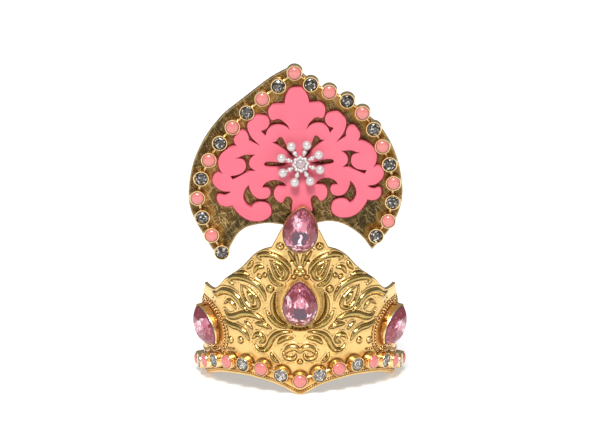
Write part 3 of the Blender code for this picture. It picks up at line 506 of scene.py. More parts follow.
def round_dome(name, sides, rings, radius, rise):
    """The upper half of a sphere, flattened to its rise, with a flat underside; millimetres."""
    deselect()
    bpy.ops.mesh.primitive_uv_sphere_add(segments=sides, ring_count=rings, radius=radius)
    piece = bpy.context.object
    piece.name = name
    bpy.ops.object.mode_set(mode="EDIT")
    bpy.ops.mesh.select_all(action="SELECT")
    bpy.ops.mesh.bisect(plane_co=(0, 0, 0), plane_no=(0, 0, 1), use_fill=True, clear_inner=True)
    bpy.ops.mesh.select_all(action="SELECT")
    bpy.ops.transform.resize(value=(1.0, 1.0, rise / radius), center_override=(0, 0, 0))
    bpy.ops.mesh.normals_make_consistent(inside=False)
    bpy.ops.object.mode_set(mode="OBJECT")
    return piece


def small_ball(name, sides, rings):
    deselect()
    bpy.ops.mesh.primitive_uv_sphere_add(segments=sides, ring_count=rings, radius=1.0)
    piece = bpy.context.object
    piece.name = name
    return piece


def shape_of(piece):
    """Points and faces of a mesh; the piece itself is removed."""
    points = np.array([v.co for v in piece.data.vertices])
    faces = [tuple(f.vertices) for f in piece.data.polygons]
    bpy.data.objects.remove(piece, do_unlink=True)
    return points, faces


def copies(shape, places):
    """One set of points and faces from a shape in millimetres, copied to each place in metres."""
    points, faces = shape
    all_points, all_faces = [], []
    for place in places:
        turn = np.array(place.to_3x3()) * MM
        shift = len(all_points) * len(points)
        all_points.append(points @ turn.T + np.array(place.translation))
        all_faces += [tuple(i + shift for i in face) for face in faces]
    return np.concatenate(all_points).tolist(), all_faces


def joined(*shapes):
    points, faces = [], []
    for some_points, some_faces in shapes:
        shift = len(points)
        points += some_points
        faces += [tuple(i + shift for i in face) for face in some_faces]
    return points, faces


def stone_seat(node):
    """Frame of a stone in metres: origin in the middle of its flat underside, Z outwards, Y to its far tip or
    up. The underside is the largest flat stretch of the stone's own mesh."""
    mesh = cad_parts[node].data
    areas = {}
    for face in mesh.polygons:
        key = tuple(round(x, 2) for x in face.normal)
        areas.setdefault(key, [0.0, []])
        areas[key][0] += face.area
        areas[key][1].append(face)
    flat = max(areas.values(), key=lambda entry: entry[0])[1]
    out = -sum((f.normal for f in flat), Vector()).normalized()
    corners = [mesh.vertices[i].co for f in flat for i in f.vertices]
    middle = sum(corners, Vector()) / len(corners)
    far = max(corners, key=lambda p: (p - middle).length) - middle
    up = far if node.startswith("gem") else Vector((0, 0, 1))
    up = (up - up.dot(out) * out).normalized()
    side = up.cross(out)
    spans = [((min(p.dot(d) for p in corners) + max(p.dot(d) for p in corners)) / 2, d) for d in (side, up)]
    middle = sum((d * span for span, d in spans), out * middle.dot(out))
    return Matrix.Translation(middle) @ Matrix((side, up, out)).transposed().to_4x4()


def chain_stones(chain):
    """Names and frames of a chain's stones, from its left end to its right one."""
    count = CHAIN_SIZES[chain]
    stones = []
    for k in range(-count, count + 1):
        kind = "cabochon" if k % 2 == 0 else "crystal"
        side = "middle" if k == 0 else ("left" if k < 0 else "right")
        node = f"{chain}_{kind}_{side}_{abs(k)}"
        stones.append((node, kind, stone_seat(node)))
    return stones


def smooth_path(points, steps):
    """Catmull-Rom curve through points, with this many steps between two of them."""
    path = [Vector(p) for p in points]
    ends = [2 * path[0] - path[1]] + path + [2 * path[-1] - path[-2]]
    curve = []
    for i in range(1, len(path)):
        a, b, c, d = ends[i - 1:i + 3]
        for k in range(steps):
            t = k / steps
            curve.append(0.5 * (2 * b + (c - a) * t + (2 * a - 5 * b + 4 * c - d) * t * t
                                + (3 * b - a - 3 * c + d) * t ** 3))
    curve.append(path[-1])
    return curve


def spaced(points, step):
    """Points at about equal steps along a line of points."""
    path = [Vector(p) for p in points]
    lengths = [0.0]
    for a, b in zip(path, path[1:]):
        lengths.append(lengths[-1] + (b - a).length)
    count = max(2, round(lengths[-1] / step) + 1)
    at = np.linspace(0.0, lengths[-1], count)
    axes = [np.interp(at, lengths, [p[axis] for p in path]) for axis in range(len(path[0]))]
    return [Vector(p) for p in zip(*axes)]


def wall_points(s, h, out):
    """Unrolled places on the band's wall, arrays in millimetres, to points in metres."""
    turn = s / BAND_RADIUS
    reach = BAND_RADIUS + h * math.sin(BAND_LEAN) + out
    return np.stack([reach * np.sin(turn), BAND_CENTRE_Y - reach * np.cos(turn), h * math.cos(BAND_LEAN)],
                    axis=1) * MM


def wall_frame(s, h, out=0.0):
    """Frame on the wall in metres: X along the rim, Y up the wall, Z outwards."""
    place = wall_points(np.array([s]), np.array([h]), out)[0]
    facing = Matrix.Rotation(s / BAND_RADIUS, 4, "Z") @ Matrix.Rotation(math.pi / 2 + BAND_LEAN, 4, "X")
    return Matrix.Translation(place) @ facing


def unrolled(point):
    """Unrolled place (s, h) in millimetres of a point in metres on or near the wall."""
    behind = BAND_CENTRE_Y - point.y / MM
    return BAND_RADIUS * math.atan2(point.x / MM, behind), point.z / MM / math.cos(BAND_LEAN)


def smoothstep(low, high, value):
    t = np.clip((value - low) / (high - low), 0.0, 1.0)
    return t * t * (3 - 2 * t)


def lump(away, radius, roundness):
    """Rounded height: 1 in the middle, and 0 from the radius on."""
    return np.clip(1.0 - (away / radius) ** 2, 0.0, 1.0) ** roundness


def fine_line(distance, line):
    """Soft line that lies at a distance and has a width."""
    place, width = line
    return np.exp(-((distance - place) / width) ** 2)


def mirrored(spots):
    """The spots of a table of (s, h, radius), on both halves of the band."""
    return [(side * s, h, radius) for s, h, radius in spots for side in (1.0, -1.0)]


def band_outline(step):
    """The band's smooth unrolled outline, anticlockwise, with sharp corners kept."""
    half = LOWER_RIM + BAND_END + UPPER_RIM
    runs, run = [], []
    for point in half:
        run.append(point)
        if point in RIM_CORNERS and len(run) > 1:
            runs.append(run)
            run = [point]
    runs.append(run)
    right = [Vector(half[0])]
    for run in runs:
        right += spaced(smooth_path(run, 6), step)[1:]
    return [(p.x, p.y) for p in right] + [(-p.x, p.y) for p in right[::-1] if p.x > 1e-6]


def points_inside(points, outline):
    """Which of the points lie inside a closed outline."""
    x, y = points[:, 0], points[:, 1]
    within = np.zeros(len(points), bool)
    for (ax, ay), (bx, by) in zip(outline, outline[1:] + outline[:1]):
        if ay != by:
            crossing = (ay > y) != (by > y)
            within ^= crossing & (x < ax + (y - ay) * (bx - ax) / (by - ay))
    return within


def distance_to_line(points, line):
    """Distance from each point to a line of points, and where along it the nearest place lies, 0 to 1."""
    best = np.full(len(points), 1e9)
    along = np.zeros(len(points))
    for i, (a, b) in enumerate(zip(line, line[1:])):
        a, step = np.array(a), np.array(b) - np.array(a)
        t = np.clip((points - a) @ step / max(step @ step, 1e-12), 0.0, 1.0)
        away = np.linalg.norm(points - a - t[:, None] * step, axis=1)
        closer = away < best
        best = np.where(closer, away, best)
        along = np.where(closer, (i + t) / (len(line) - 1), along)
    return best, along


def pear_distance(points, centre, size, turn):
    """Signed distance of unrolled points from the outline of a pear stone, negative inside it."""
    ring = [(centre[0] + x, centre[1] + y)
            for x, y in pear_ring(PEAR_WIDTH * size, PEAR_LENGTH * size, PEAR_STEPS, turn)]
    away, _ = distance_to_line(points, ring + ring[:1])
    return np.where(points_inside(points, ring), -away, away)


def bead_lines():
    """Unrolled lines of beads: line, pitch, radius."""
    rim = [(-s, h) for s, h in LOWER_RIM[::-1]] + LOWER_RIM
    smooth_rim = [(p.x, p.y) for p in smooth_path(rim, 3)]
    above, pitch, radius = RIM_BEADS
    lines = [([(s, h + above) for s, h in smooth_rim], pitch, radius)]
    size = PEAR_SIZES["right"]
    for side in (1.0, -1.0):
        above, pitch, radius = CHAIN_BEADS
        lines.append(([(side * s, h + above) for s, h in smooth_rim if s > CHAIN_BEADS_START], pitch, radius))
        for spread, pitch, radius in STONE_BEADS:
            ring = pear_ring(PEAR_WIDTH * size + 2 * spread, PEAR_LENGTH * size + 2 * spread, PEAR_STEPS,
                             -side * SIDE_STONE_TURN)
            ring = [(side * SIDE_STONE[0] + x, SIDE_STONE[1] + y) for x, y in ring]
            lines.append((ring + ring[:1], pitch, radius))
    return lines


def raised_masks(points):
    """Masks of the scrolls and domes: their crests, the groove round them, the leaf that they lie on, how
    polished they are under their painted dark olive reflection, and the second line round them."""
    crest, groove, leaf, polish_and_reflection, echo = np.zeros((5, len(points)))
    margin = 2.5
    for name, half_width, path in SCROLLS:
        share = SPIRAL_POLISH_AND_REFLECTION if name.startswith("spiral") else 1.0
        for side in (1.0, -1.0):
            line = [(side * p.x, p.y) for p in smooth_path(path, 5)]
            low, high = np.min(line, axis=0) - margin, np.max(line, axis=0) + margin
            near = np.nonzero(((points >= low) & (points <= high)).all(axis=1))[0]
            away, along = distance_to_line(points[near], line)
            from_tip = np.minimum(along, 1.0 - along)
            width = half_width * np.clip(SCROLL_TAPER * from_tip, THINNEST_TIP, 1.0) ** TAPER_POWER
            rise = np.clip(width / FULL_HEIGHT_WIDTH, LOWEST_CREST, 1.0)
            inside = lump(away, width, SCROLL_ROUNDNESS) * rise
            outside = away - width
            crest[near] = np.maximum(crest[near], inside)
            polish_and_reflection[near] = np.maximum(polish_and_reflection[near], inside * share)
            groove[near] = np.maximum(groove[near], fine_line(outside, GROOVE_LINE))
            leaf[near] = np.maximum(leaf[near], smoothstep(*LEAF_BORDER, outside))
            beyond = np.where(outside < ECHO_LINE[0], 0.0, fine_line(outside, ECHO_LINE))
            echo[near] = np.maximum(echo[near], beyond)
    for s, h, radius in mirrored(DOMES):
        away = np.hypot(points[:, 0] - s, points[:, 1] - h)
        crest = np.maximum(crest, lump(away, radius, DOME_ROUNDNESS))
        polish_and_reflection = np.maximum(polish_and_reflection, DOME_POLISH_AND_REFLECTION * smoothstep(radius, 0.6 * radius, away))
        groove = np.maximum(groove, fine_line(away - radius, GROOVE_LINE))
    clear = smoothstep(0.3, 0.0, crest)
    return crest, groove * clear, leaf, polish_and_reflection, echo * (leaf < 0.6), clear


def shaded_masks(points):
    """Masks of the gilt in painted shade near the stones and the chain, and of the painted contact shade at
    the places under the cups.
    """
    shade = smoothstep(*CENTRE_STONE_SHADE, pear_distance(points, CENTRE_STONE, 1.0, 0.0)) * 0.55
    for side in (1.0, -1.0):
        stone = pear_distance(points, (side * SIDE_STONE[0], SIDE_STONE[1]), PEAR_SIZES["right"],
                              -side * SIDE_STONE_TURN)
        shade = np.maximum(shade, smoothstep(*SIDE_STONE_SHADE, stone)
                           + 0.35 * smoothstep(*SIDE_STONE_HALO, stone))
    chain = points[:, 1] - np.interp(np.abs(points[:, 0]), *zip(*LOWER_RIM))
    by_chain = smoothstep(*CHAIN_SHADE_LOW, chain) * smoothstep(*CHAIN_SHADE_HIGH, chain)
    shade = np.maximum(shade, 0.75 * by_chain)
    # Painted contact shade round the foot of each cup
    contact = np.zeros(len(points))
    for _, _, seat in chain_stones("band_chain"):
        s, h = unrolled(seat @ Vector((0, 0, -CUP_FOOT_TO_STONE * MM)))
        away = np.hypot(points[:, 0] - s, points[:, 1] - h)
        contact = np.maximum(contact, smoothstep(*CUP_CONTACT, away))
    return np.clip(np.maximum(shade, contact), 0.0, 1.0), contact


def dish_mask(points):
    """Granular dish round the foot and the sides of the middle stone."""
    from_stone = pear_distance(points, CENTRE_STONE, 1.0, 0.0)
    below_tip = smoothstep(*DISH_BELOW_TIP, points[:, 1] - CENTRE_STONE[1])
    return smoothstep(*DISH_INNER, from_stone) * smoothstep(*DISH_OUTER, from_stone) * below_tip


def scroll_relief(points, settings):
    """Height over the wall, and the masks that the band's finish reads, over unrolled points."""
    crest, groove, leaf, polish_and_reflection, echo, clear = raised_masks(points)
    shade, contact = shaded_masks(points)
    dish = dish_mask(points) * clear
    pits = np.zeros(len(points))
    for s, h, radius in mirrored(PITS):
        away = np.hypot(points[:, 0] - s, points[:, 1] - h)
        pits = np.maximum(pits, lump(away, radius, DOME_ROUNDNESS))
    bead_bed = np.zeros(len(points))
    for line, _, radius in bead_lines():
        away, _ = distance_to_line(points, line)
        bead_bed = np.maximum(bead_bed, smoothstep(radius + BEAD_BED, radius, away))
    height = (crest * settings.scroll_height + leaf * settings.plateau_height
              - groove * settings.groove_depth) / MM
    height -= ECHO_DEPTH * echo + PIT_DEPTH * pits + DISH_DEPTH * dish + BEAD_BED_DEPTH * bead_bed
    # Painted shade in the chased lines, the pits and the bead beds, and round each cup's foot
    chasing = np.maximum.reduce([groove, 0.6 * echo, pits, 0.8 * bead_bed, 0.75 * contact])
    # Painted highlight on the band's ears
    pale = smoothstep(*EAR_ACROSS, np.abs(points[:, 0])) * smoothstep(*EAR_UPWARDS, points[:, 1])
    return height, {"scroll": polish_and_reflection * (pits < 0.3), "chasing": chasing, "shade": shade, "dish": dish,
                    "pale": pale}


def sheet_faces(points, outline_count, outline):
    """Triangles over unrolled points inside the outline, whose own points come first."""
    edges = [(i, (i + 1) % outline_count) for i in range(outline_count)]
    flat, _, triangles, _, _, _ = geometry.delaunay_2d_cdt([Vector(p) for p in points], edges, [], 0, 1e-5)
    flat = np.array([tuple(p) for p in flat])
    triangles = np.array(triangles)
    middles = flat[triangles].mean(axis=1)
    return flat, triangles[points_inside(middles, outline)]


def inner_grid(outline, step, clearance):
    """Staggered grid points inside the outline, clear of its edge."""
    low, high = np.min(outline, axis=0), np.max(outline, axis=0)
    rows = np.arange(low[1], high[1], step * 0.866)
    points = []
    for k, row in enumerate(rows):
        across = np.arange(low[0] + (step / 2 if k % 2 else 0.0), high[0], step)
        points.append(np.stack([across, np.full(len(across), row)], axis=1))
    points = np.concatenate(points)
    points = points[points_inside(points, outline)]
    away, _ = distance_to_line(points, outline + outline[:1])
    return points[away > clearance]


class CROWN_OT_band(bpy.types.Operator):
    """Makes the band with its raised scrolls"""
    bl_idname = "crown.band"
    bl_label = "Scroll band"

    def execute(self, context):
        settings = context.scene.crown_band
        step = settings.grid_step / MM
        outline = band_outline(step * 1.5)
        count = len(outline)
        front_points = np.concatenate([np.array(outline), inner_grid(outline, step, step * 0.6)])
        flat, front = sheet_faces(front_points, count, outline)
        height, masks = scroll_relief(flat, settings)
        from_rim, _ = distance_to_line(flat, outline + outline[:1])
        rim_line = fine_line(from_rim, RIM_LINE)
        height = height * smoothstep(*RELIEF_FADE, from_rim)
        height -= RIM_ROUNDING * (1.0 - np.clip(from_rim / RIM_ROUND_WIDTH, 0.0, 1.0)) ** 2
        height -= RIM_LINE_DEPTH * rim_line
        # Painted shade in the chased line along the rim
        masks["chasing"] = np.maximum(masks["chasing"], 0.4 * rim_line)
        back_points = np.concatenate([np.array(outline), inner_grid(outline, step=2.5, clearance=1.2)])
        back_flat, back = sheet_faces(back_points, count, outline)
        points = np.concatenate([wall_points(flat[:, 0], flat[:, 1], height),
                                 wall_points(back_flat[:, 0], back_flat[:, 1], -BAND_WALL)])
        shift = len(flat)
        faces = front.tolist() + (back[:, ::-1] + shift).tolist()
        for i in range(count):
            k = (i + 1) % count
            faces.append((i, i + shift, k + shift, k))
        band = make_piece("scroll_band", points.tolist(), faces, math.radians(75))
        for name, values in masks.items():
            paint(band, name, np.concatenate([values, np.zeros(len(back_flat))]))
        settle(band, band_finish(settings), "gold_band", "crown_band")
        return {"FINISHED"}


def band_finish(settings):
    """Satin gilt: polished on the scrolls under a painted dark olive reflection, dark with painted shade in
    the chasing and round the cups, warm and dull in the painted shade, with a painted highlight on the ears.
    """
    gilt = Finish("gilt_scroll_band")
    scroll, chasing, shade, dish = (gilt.attribute(name) for name in ("scroll", "chasing", "shade", "dish"))
    cloud = gilt.noise(140.0, detail=4.0)
    patches = gilt.noise(420.0, detail=3.0)
    grain = gilt.noise(2600.0, detail=2.0)
    on_scroll = scroll.ramp(0.05, 0.6)
    tone = gilt.mix(cloud.ramp(0.35, 0.7), settings.gold, tinted(settings.gold, 0.84))
    # Painted highlight on the ears
    tone = gilt.mix(gilt.attribute("pale") * 0.45, tone, settings.pale)
    tone = gilt.mix(dish * grain.ramp(0.35, 0.6, 0.45, 1.0), tone, settings.dish)
    tone = gilt.mix(shade * patches.ramp(0.3, 0.62, 0.3, 1.0), tone, settings.warm)
    # Painted dark olive reflection on the polished scrolls
    tone = gilt.mix(on_scroll * 0.92, tone, settings.olive)
    # Painted shade in the chasing and round each cup's foot
    tone = gilt.mix(chasing.ramp(0.15, 0.9, 0.0, 0.95), tone, settings.recess_shade)
    gilt.varies("Base Color", tone)
    gilt.varies("Metallic", 1.0 - shade * 0.35)
    gilt.varies("Roughness", on_scroll * -0.13 + dish * 0.15 + 0.33 + grain.ramp(0.3, 0.7, -0.04, 0.06))
    unevenness = grain * (dish * 4.0 + 0.6) * (1.0 - on_scroll * 0.8) + cloud * 3.0
    gilt.bump(unevenness, strength=0.12, distance=0.00006)
    return gilt


def settings_finish(settings):
    """Polished gilt of the cups, bezels and beads, with painted shade in dark orange deep down."""
    gilt = Finish("gilt_settings")
    depth = gilt.attribute("depth")
    cloud = gilt.noise(600.0, detail=3.0)
    grain = gilt.noise(3200.0, detail=2.0)
    # Painted shade deep down, by depth below the lip
    deep = depth.ramp(0.1, 0.75) * cloud.ramp(0.25, 0.6, 0.55, 1.0)
    gilt.varies("Base Color", gilt.mix(deep, settings.gold, settings.recess_shade))
    gilt.varies("Roughness", grain.ramp(0.3, 0.7, 0.18, 0.32))
    gilt.varies("Metallic", 1.0 - deep * 0.4)
    gilt.bump(grain, strength=0.1, distance=0.00004)
    return gilt


def paint_depth(piece, depths):
    """How much painted shade each point of a setting gets, from 0 to 1; mostly how deep it lies below the
    lip.
    """
    paint(piece, "depth", np.clip(depths, 0.0, 1.0))


class CROWN_OT_beading(bpy.types.Operator):
    """Makes the beaded lines of the band"""
    bl_idname = "crown.beading"
    bl_label = "Beaded lines"

    def execute(self, context):
        settings = context.scene.crown_setting
        ball = shape_of(small_ball("bead", sides=8, rings=6))
        # The beads get an even painted shade
        lift, from_end, depth = 0.02, 0.4, 0.42
        places = []
        for line, pitch, radius in bead_lines():
            for p in spaced(line, pitch)[1:]:
                if abs(p.x) < BAND_END[0][0] - from_end:
                    places.append(wall_frame(p.x, p.y, lift) @ Matrix.Scale(radius * settings.bead_size, 4))
        beading = make_piece("band_beading", *copies(ball, places), smooth_angle=math.pi)
        paint_depth(beading, np.full(len(beading.data.vertices), depth))
        settle(beading, settings_finish(settings), "gold_band")
        return {"FINISHED"}


def pear_place(t):
    """Place on a pear's outline, in its half widths and half lengths; its tip is at t = 0, at +Y."""
    return -math.sin(t) * abs(math.sin(t / 2)) ** PEAR_FULLNESS / PEAR_WIDEST, math.cos(t)


def pear_ring(width, length, sides, turn=0.0):
    """A pear in the plane, anticlockwise, turned about its middle."""
    ring = []
    for j in range(sides):
        x, y = pear_place(2 * math.pi * j / sides)
        x, y = x * width / 2, y * length / 2
        ring.append((x * math.cos(turn) - y * math.sin(turn), x * math.sin(turn) + y * math.cos(turn)))
    return ring


def round_place(t):
    """Place on a circle, in its radius."""
    return math.cos(t), math.sin(t)


def cut_stone(name, rings, tip, outline, half_sizes, seat, spin=0.0):
    """A stone cut in rings of facets, whose outline a function gives in its half sizes. It comes with the
    ring that each facet starts from, and each facet's middle."""
    points, levels = [], []
    for scale, height, sides in rings:
        levels.append(len(points))
        shift = spin + (0.5 if len(levels) % 2 else 0.0)
        for j in range(sides):
            x, y = outline(2 * math.pi * (j + shift) / sides)
            points.append((x * scale * half_sizes[0], y * scale * half_sizes[1], height))
    points.append((0.0, 0.0, tip))
    faces, face_levels = facet_faces(rings, levels, len(points) - 1)
    stone = make_piece(name, [tuple(seat @ (Vector(p) * MM)) for p in points], faces)
    middles = [sum((Vector(points[i]) for i in face), Vector()) / len(face) for face in faces]
    return stone, face_levels, middles


def gem_tone(x, y, gleams, chance):
    """Tone of a facet by its place on the stone, a painted reflection: painted glitter on the rim at the
    foot, and mauve on the sides.
    """
    for gleam_x, gleam_y, half_width, half_height, tone in gleams:
        if abs(x - gleam_x) < half_width and abs(y - gleam_y) < half_height:
            return min(1.0, max(0.0, tone + chance.gauss(0.0, 0.09)))
    reach = math.hypot(x, y)
    if y < -0.35 and reach > 0.55:
        return chance.choice(GLITTER_TONES)
    if y > 0.45:
        return chance.choice(TIP_TONES)
    return SIDE_TONE + chance.gauss(0.0, 0.12)


class CROWN_OT_gems(bpy.types.Operator):
    """Makes the four cut pear stones"""
    bl_idname = "crown.gems"
    bl_label = "Pear stones"

    def execute(self, context):
        finish = gem_finish(context.scene.crown_stone)
        for name, size in PEAR_SIZES.items():
            node = "gem_" + name
            seat = stone_seat(node)
            foot = stone_height(node, seat) - GEM_RISE
            half_width = PEAR_WIDTH * size / 2 - GEM_CLEARANCE
            half_length = PEAR_LENGTH * size / 2 - GEM_CLEARANCE
            gem, face_levels, middles = cut_stone("pear_" + name, GEM_RINGS, GEM_TIP, pear_place,
                                                  (half_width, half_length),
                                                  seat @ Matrix.Translation((0, 0, foot * MM)))
            chance = random.Random(len(name))
            tones = [gem_tone(p.x / half_width, p.y / half_length, GEM_GLEAMS[name], chance) for p in middles]
            # The foot rings get painted shade where the bezel's lip meets the stone
            tones = [GEM_SHADED_FOOT_TONES[level] if level < len(GEM_SHADED_FOOT_TONES) else tone
                     for level, tone in zip(face_levels, tones)]
            paint(gem, "tone", tones, "FACE")
            settle(gem, finish, "pink_gem", node)
        return {"FINISHED"}


def stone_height(node, seat):
    """Height of a stone over its underside, in millimetres."""
    away = seat.inverted()
    return max((away @ v.co).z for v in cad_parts[node].data.vertices) / MM


def facet_faces(rings, levels, tip):
    """Triangles between rings of points that may differ in number, closed by a foot and a tip, and the ring
    that each of them starts from."""
    faces = [tuple(range(rings[0][2]))[::-1]]
    face_levels = [0]
    for level in range(len(rings) - 1):
        n, m = rings[level][2], rings[level + 1][2]
        low, high = levels[level], levels[level + 1]
        i = j = 0
        while i < n or j < m:
            if j >= m or (i < n and (i + 0.5) / n <= (j + 0.5) / m):
                faces.append((low + i % n, low + (i + 1) % n, high + j % m))
                i += 1
            else:
                faces.append((low + i % n, high + (j + 1) % m, high + j % m))
                j += 1
            face_levels.append(level)
    last, m = levels[-1], rings[-1][2]
    for j in range(m):
        faces.append((last + j, last + (j + 1) % m, tip))
        face_levels.append(len(rings))
    return faces, face_levels


def gem_finish(settings):
    """Foil-backed pink glass; each facet's own tone paints the reflection, sparkle or shade that it shows."""
    stone = Finish("pink_cut_stone", metallic=0.25, coat_weight=0.45, coat_roughness=0.03, roughness=0.12)
    tone = stone.attribute("tone")
    body = stone.mix(tone.ramp(0.0, 0.34), settings.gem_dark, settings.gem_middle)
    body = stone.mix(tone.ramp(0.42, 0.78), body, settings.gem_light)
    stone.varies("Base Color", stone.mix(tone.ramp(0.84, 1.0), body, settings.gem_white))
    return stone


class CROWN_OT_bezels(bpy.types.Operator):
    """Makes the pear bezels"""
    bl_idname = "crown.bezels"
    bl_label = "Pear bezels"

    def execute(self, context):
        finish = settings_finish(context.scene.crown_setting)
        sides, foot, deepest = 56, -0.6, 1.6
        for name, size in PEAR_SIZES.items():
            seat = stone_seat("gem_" + name)
            away = seat.inverted()
            top = stone_height("gem_" + name, seat) - GEM_RISE
            outline = pear_ring(PEAR_WIDTH * size, PEAR_LENGTH * size, sides)
            profile = [(1.03, foot), (1.065, top - 0.6), (1.055, top - 0.12), (1.03, top + 0.05),
                       (1.0, top - 0.02), (0.97, -0.12)]
            shape = shape_of(turned("bezel", sides, profile, outline))
            points, faces = copies(shape, [seat])
            for i, (x, y, z) in enumerate(shape[0]):
                if z < foot + 0.05:
                    low = bezel_floor(away, name, x, y)
                    points[i] = tuple(seat @ (Vector((x, y, low)) * MM))
            bezel = make_piece("setting_" + name, points, faces, math.radians(40))
            # Painted shade by depth below the lip, with more of it on the side stones' bezels
            depths = np.array([top + 0.1 - (away @ Vector(p)).z / MM for p in points]) / deepest
            paint_depth(bezel, depths + (0.4 * (depths > 0.2) if name in ("left", "right") else 0.0))
            settle(bezel, finish, "gold_settings", "bezel_" + name)
        return {"FINISHED"}


def bezel_floor(away, name, x, y):
    """Height of a bezel's underside below a point of its outline, in the stone's frame, in millimetres."""
    corners = [(away @ v.co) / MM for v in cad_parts["bezel_" + name].data.vertices]
    nearest = sorted(corners, key=lambda corner: math.hypot(corner.x - x, corner.y - y))[:12]
    return min(corner.z for corner in nearest)


class CROWN_OT_cups(bpy.types.Operator):
    """Makes the cups and links of both chains"""
    bl_idname = "crown.cups"
    bl_label = "Cup chains"

    def execute(self, context):
        settings = context.scene.crown_setting
        finish = settings_finish(settings)
        bar = shape_of(turned("link", sides=8, profile=LINK_PROFILE))
        to_foot = Matrix.Translation((0, 0, -CUP_FOOT_TO_STONE * MM))
        to_link = Vector((0, 0, LINK_HEIGHT * MM))
        # The links get an even painted shade
        link_depth = 0.35
        for chain, bore in CUP_BORES.items():
            lip = [(CUP_RADIUS, CUP_HEIGHT - 0.14), (2.22, CUP_HEIGHT), (bore + 0.12, CUP_HEIGHT - 0.03)]
            hollow = [(bore, CUP_HEIGHT - 0.3), (bore - 0.04, CUP_HEIGHT - 1.15)]
            cup = shape_of(turned("cup", settings.cup_sides, CUP_WALL + lip + hollow))
            feet = [seat @ to_foot for _, _, seat in chain_stones(chain)]
            links = []
            for a, b in zip(feet, feet[1:]):
                start = a @ to_link
                along = b @ to_link - start
                turn = Vector((0, 0, 1)).rotation_difference(along).to_matrix().to_4x4()
                inset = along.normalized() * (LINK_INSET * MM)
                length = along.length / MM - 2 * LINK_INSET
                links.append(Matrix.Translation(start + inset) @ turn @ Matrix.Diagonal((1, 1, length, 1)))
            shapes = joined(copies(cup, feet), copies(bar, links))
            cups = make_piece(chain + "_settings", *shapes, smooth_angle=math.radians(40))
            # Painted shade by depth below the lip, full inside the cup
            inside = np.hypot(cup[0][:, 0], cup[0][:, 1]) < bore - 0.02
            cup_depths = (1.4 - cup[0][:, 2]) / 2.4 + inside
            paint_depth(cups, np.concatenate([np.tile(cup_depths, len(feet)),
                                              np.full(len(links) * len(bar[0]), link_depth)]))
            settle(cups, finish, "gold_settings", chain + "_cups")
        return {"FINISHED"}


class CROWN_OT_cabochons(bpy.types.Operator):
    """Makes the round pink cabochons of both chains"""
    bl_idname = "crown.cabochons"
    bl_label = "Cabochons"

    def execute(self, context):
        finish = cabochon_finish(context.scene.crown_stone)
        lift = Matrix.Translation((0, 0, CABOCHON_LIFT * MM))
        for chain, bore in CUP_BORES.items():
            dome = shape_of(round_dome("dome", 28, 16, radius=bore - CABOCHON_CLEARANCE, rise=CABOCHON_RISE))
            for node, kind, seat in chain_stones(chain):
                if kind == "cabochon":
                    stone = make_piece(node.replace("cabochon", "dome"), *copies(dome, [seat @ lift]),
                                       smooth_angle=math.radians(60))
                    settle(stone, finish, "pink_cabochon", node)
        return {"FINISHED"}


def cabochon_finish(settings):
    """Salmon pink glass with a soft gloss."""
    stone = Finish("salmon_cabochon", roughness=0.22, coat_weight=0.6, coat_roughness=0.08,
                   subsurface_weight=0.15, subsurface_scale=0.001)
    cloud = stone.noise(500.0, detail=2.0)
    stone.varies("Base Color", stone.mix(cloud.ramp(0.3, 0.75, 0.0, 0.5), settings.cabochon,
                                         tinted(settings.cabochon, 1.12)))
    return stone


class CROWN_OT_crystals(bpy.types.Operator):
    """Makes the clear cut stones of both chains"""
    bl_idname = "crown.crystals"
    bl_label = "Clear stones"

    def execute(self, context):
        finish = crystal_finish(context.scene.crown_stone)
        chance = random.Random(CRYSTAL_SEED)
        for chain, bore in CUP_BORES.items():
            reach = bore - CRYSTAL_CLEARANCE
            for node, kind, seat in chain_stones(chain):
                if kind != "crystal":
                    continue
                stone, face_levels, _ = cut_stone(node.replace("crystal", "brilliant"), CRYSTAL_RINGS,
                                                  CRYSTAL_TIP, round_place, (reach, reach), seat,
                                                  chance.random())
                # Each facet gets a random tone that paints a reflection or sparkle; the foot gets painted
                # shade
                tones = [chance.choice(CRYSTAL_TONES[chain]) if level > 0 else CRYSTAL_SHADED_FOOT_TONE
                         for level in face_levels]
                paint(stone, "tone", tones, "FACE")
                settle(stone, finish, "clear_crystal", node)
        return {"FINISHED"}


def crystal_finish(settings):
    """Foil-backed clear glass; each facet's own tone paints the reflection, sparkle or shade that it shows.
    """
    stone = Finish("clear_cut_stone", metallic=0.5, roughness=0.12, specular_ior_level=0.3)
    tone = stone.attribute("tone")
    stone.varies("Base Color", stone.mix(tone, settings.crystal_dark, settings.crystal_light))
    return stone


def smooth_loop(points, step, corner):
    """A closed outline through the points, smooth except where it turns by more than the corner's angle."""
    loop = [Vector(p) for p in points]
    count = len(loop)
    sharp = [i for i in range(count)
             if abs((loop[i] - loop[i - 1]).angle_signed(loop[(i + 1) % count] - loop[i])) > corner] or [0]
    outline = []
    for a, b in zip(sharp, sharp[1:] + [sharp[0] + count]):
        outline += spaced(smooth_path([loop[i % count] for i in range(a, b + 1)], 4), step)[:-1]
    return [tuple(p) for p in outline]


def sheet_frame(node):
    """Frame in metres of a flat sheet's front, from the node's own mesh: X across, Y up, Z outwards."""
    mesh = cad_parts[node].data
    largest = max(mesh.polygons, key=lambda f: f.area)
    out = largest.normal.copy()
    if out.y > 0:
        out.negate()
    side = Vector((0, 0, 1)).cross(out).normalized()
    side = -side if side.x < 0 else side
    up = out.cross(side)
    front = max(v.co.dot(out) for v in mesh.vertices)
    back = min(v.co.dot(out) for v in mesh.vertices)
    place = Matrix.Translation(out * front) @ Matrix((side, up, out)).transposed().to_4x4()
    return place, (front - back) / MM


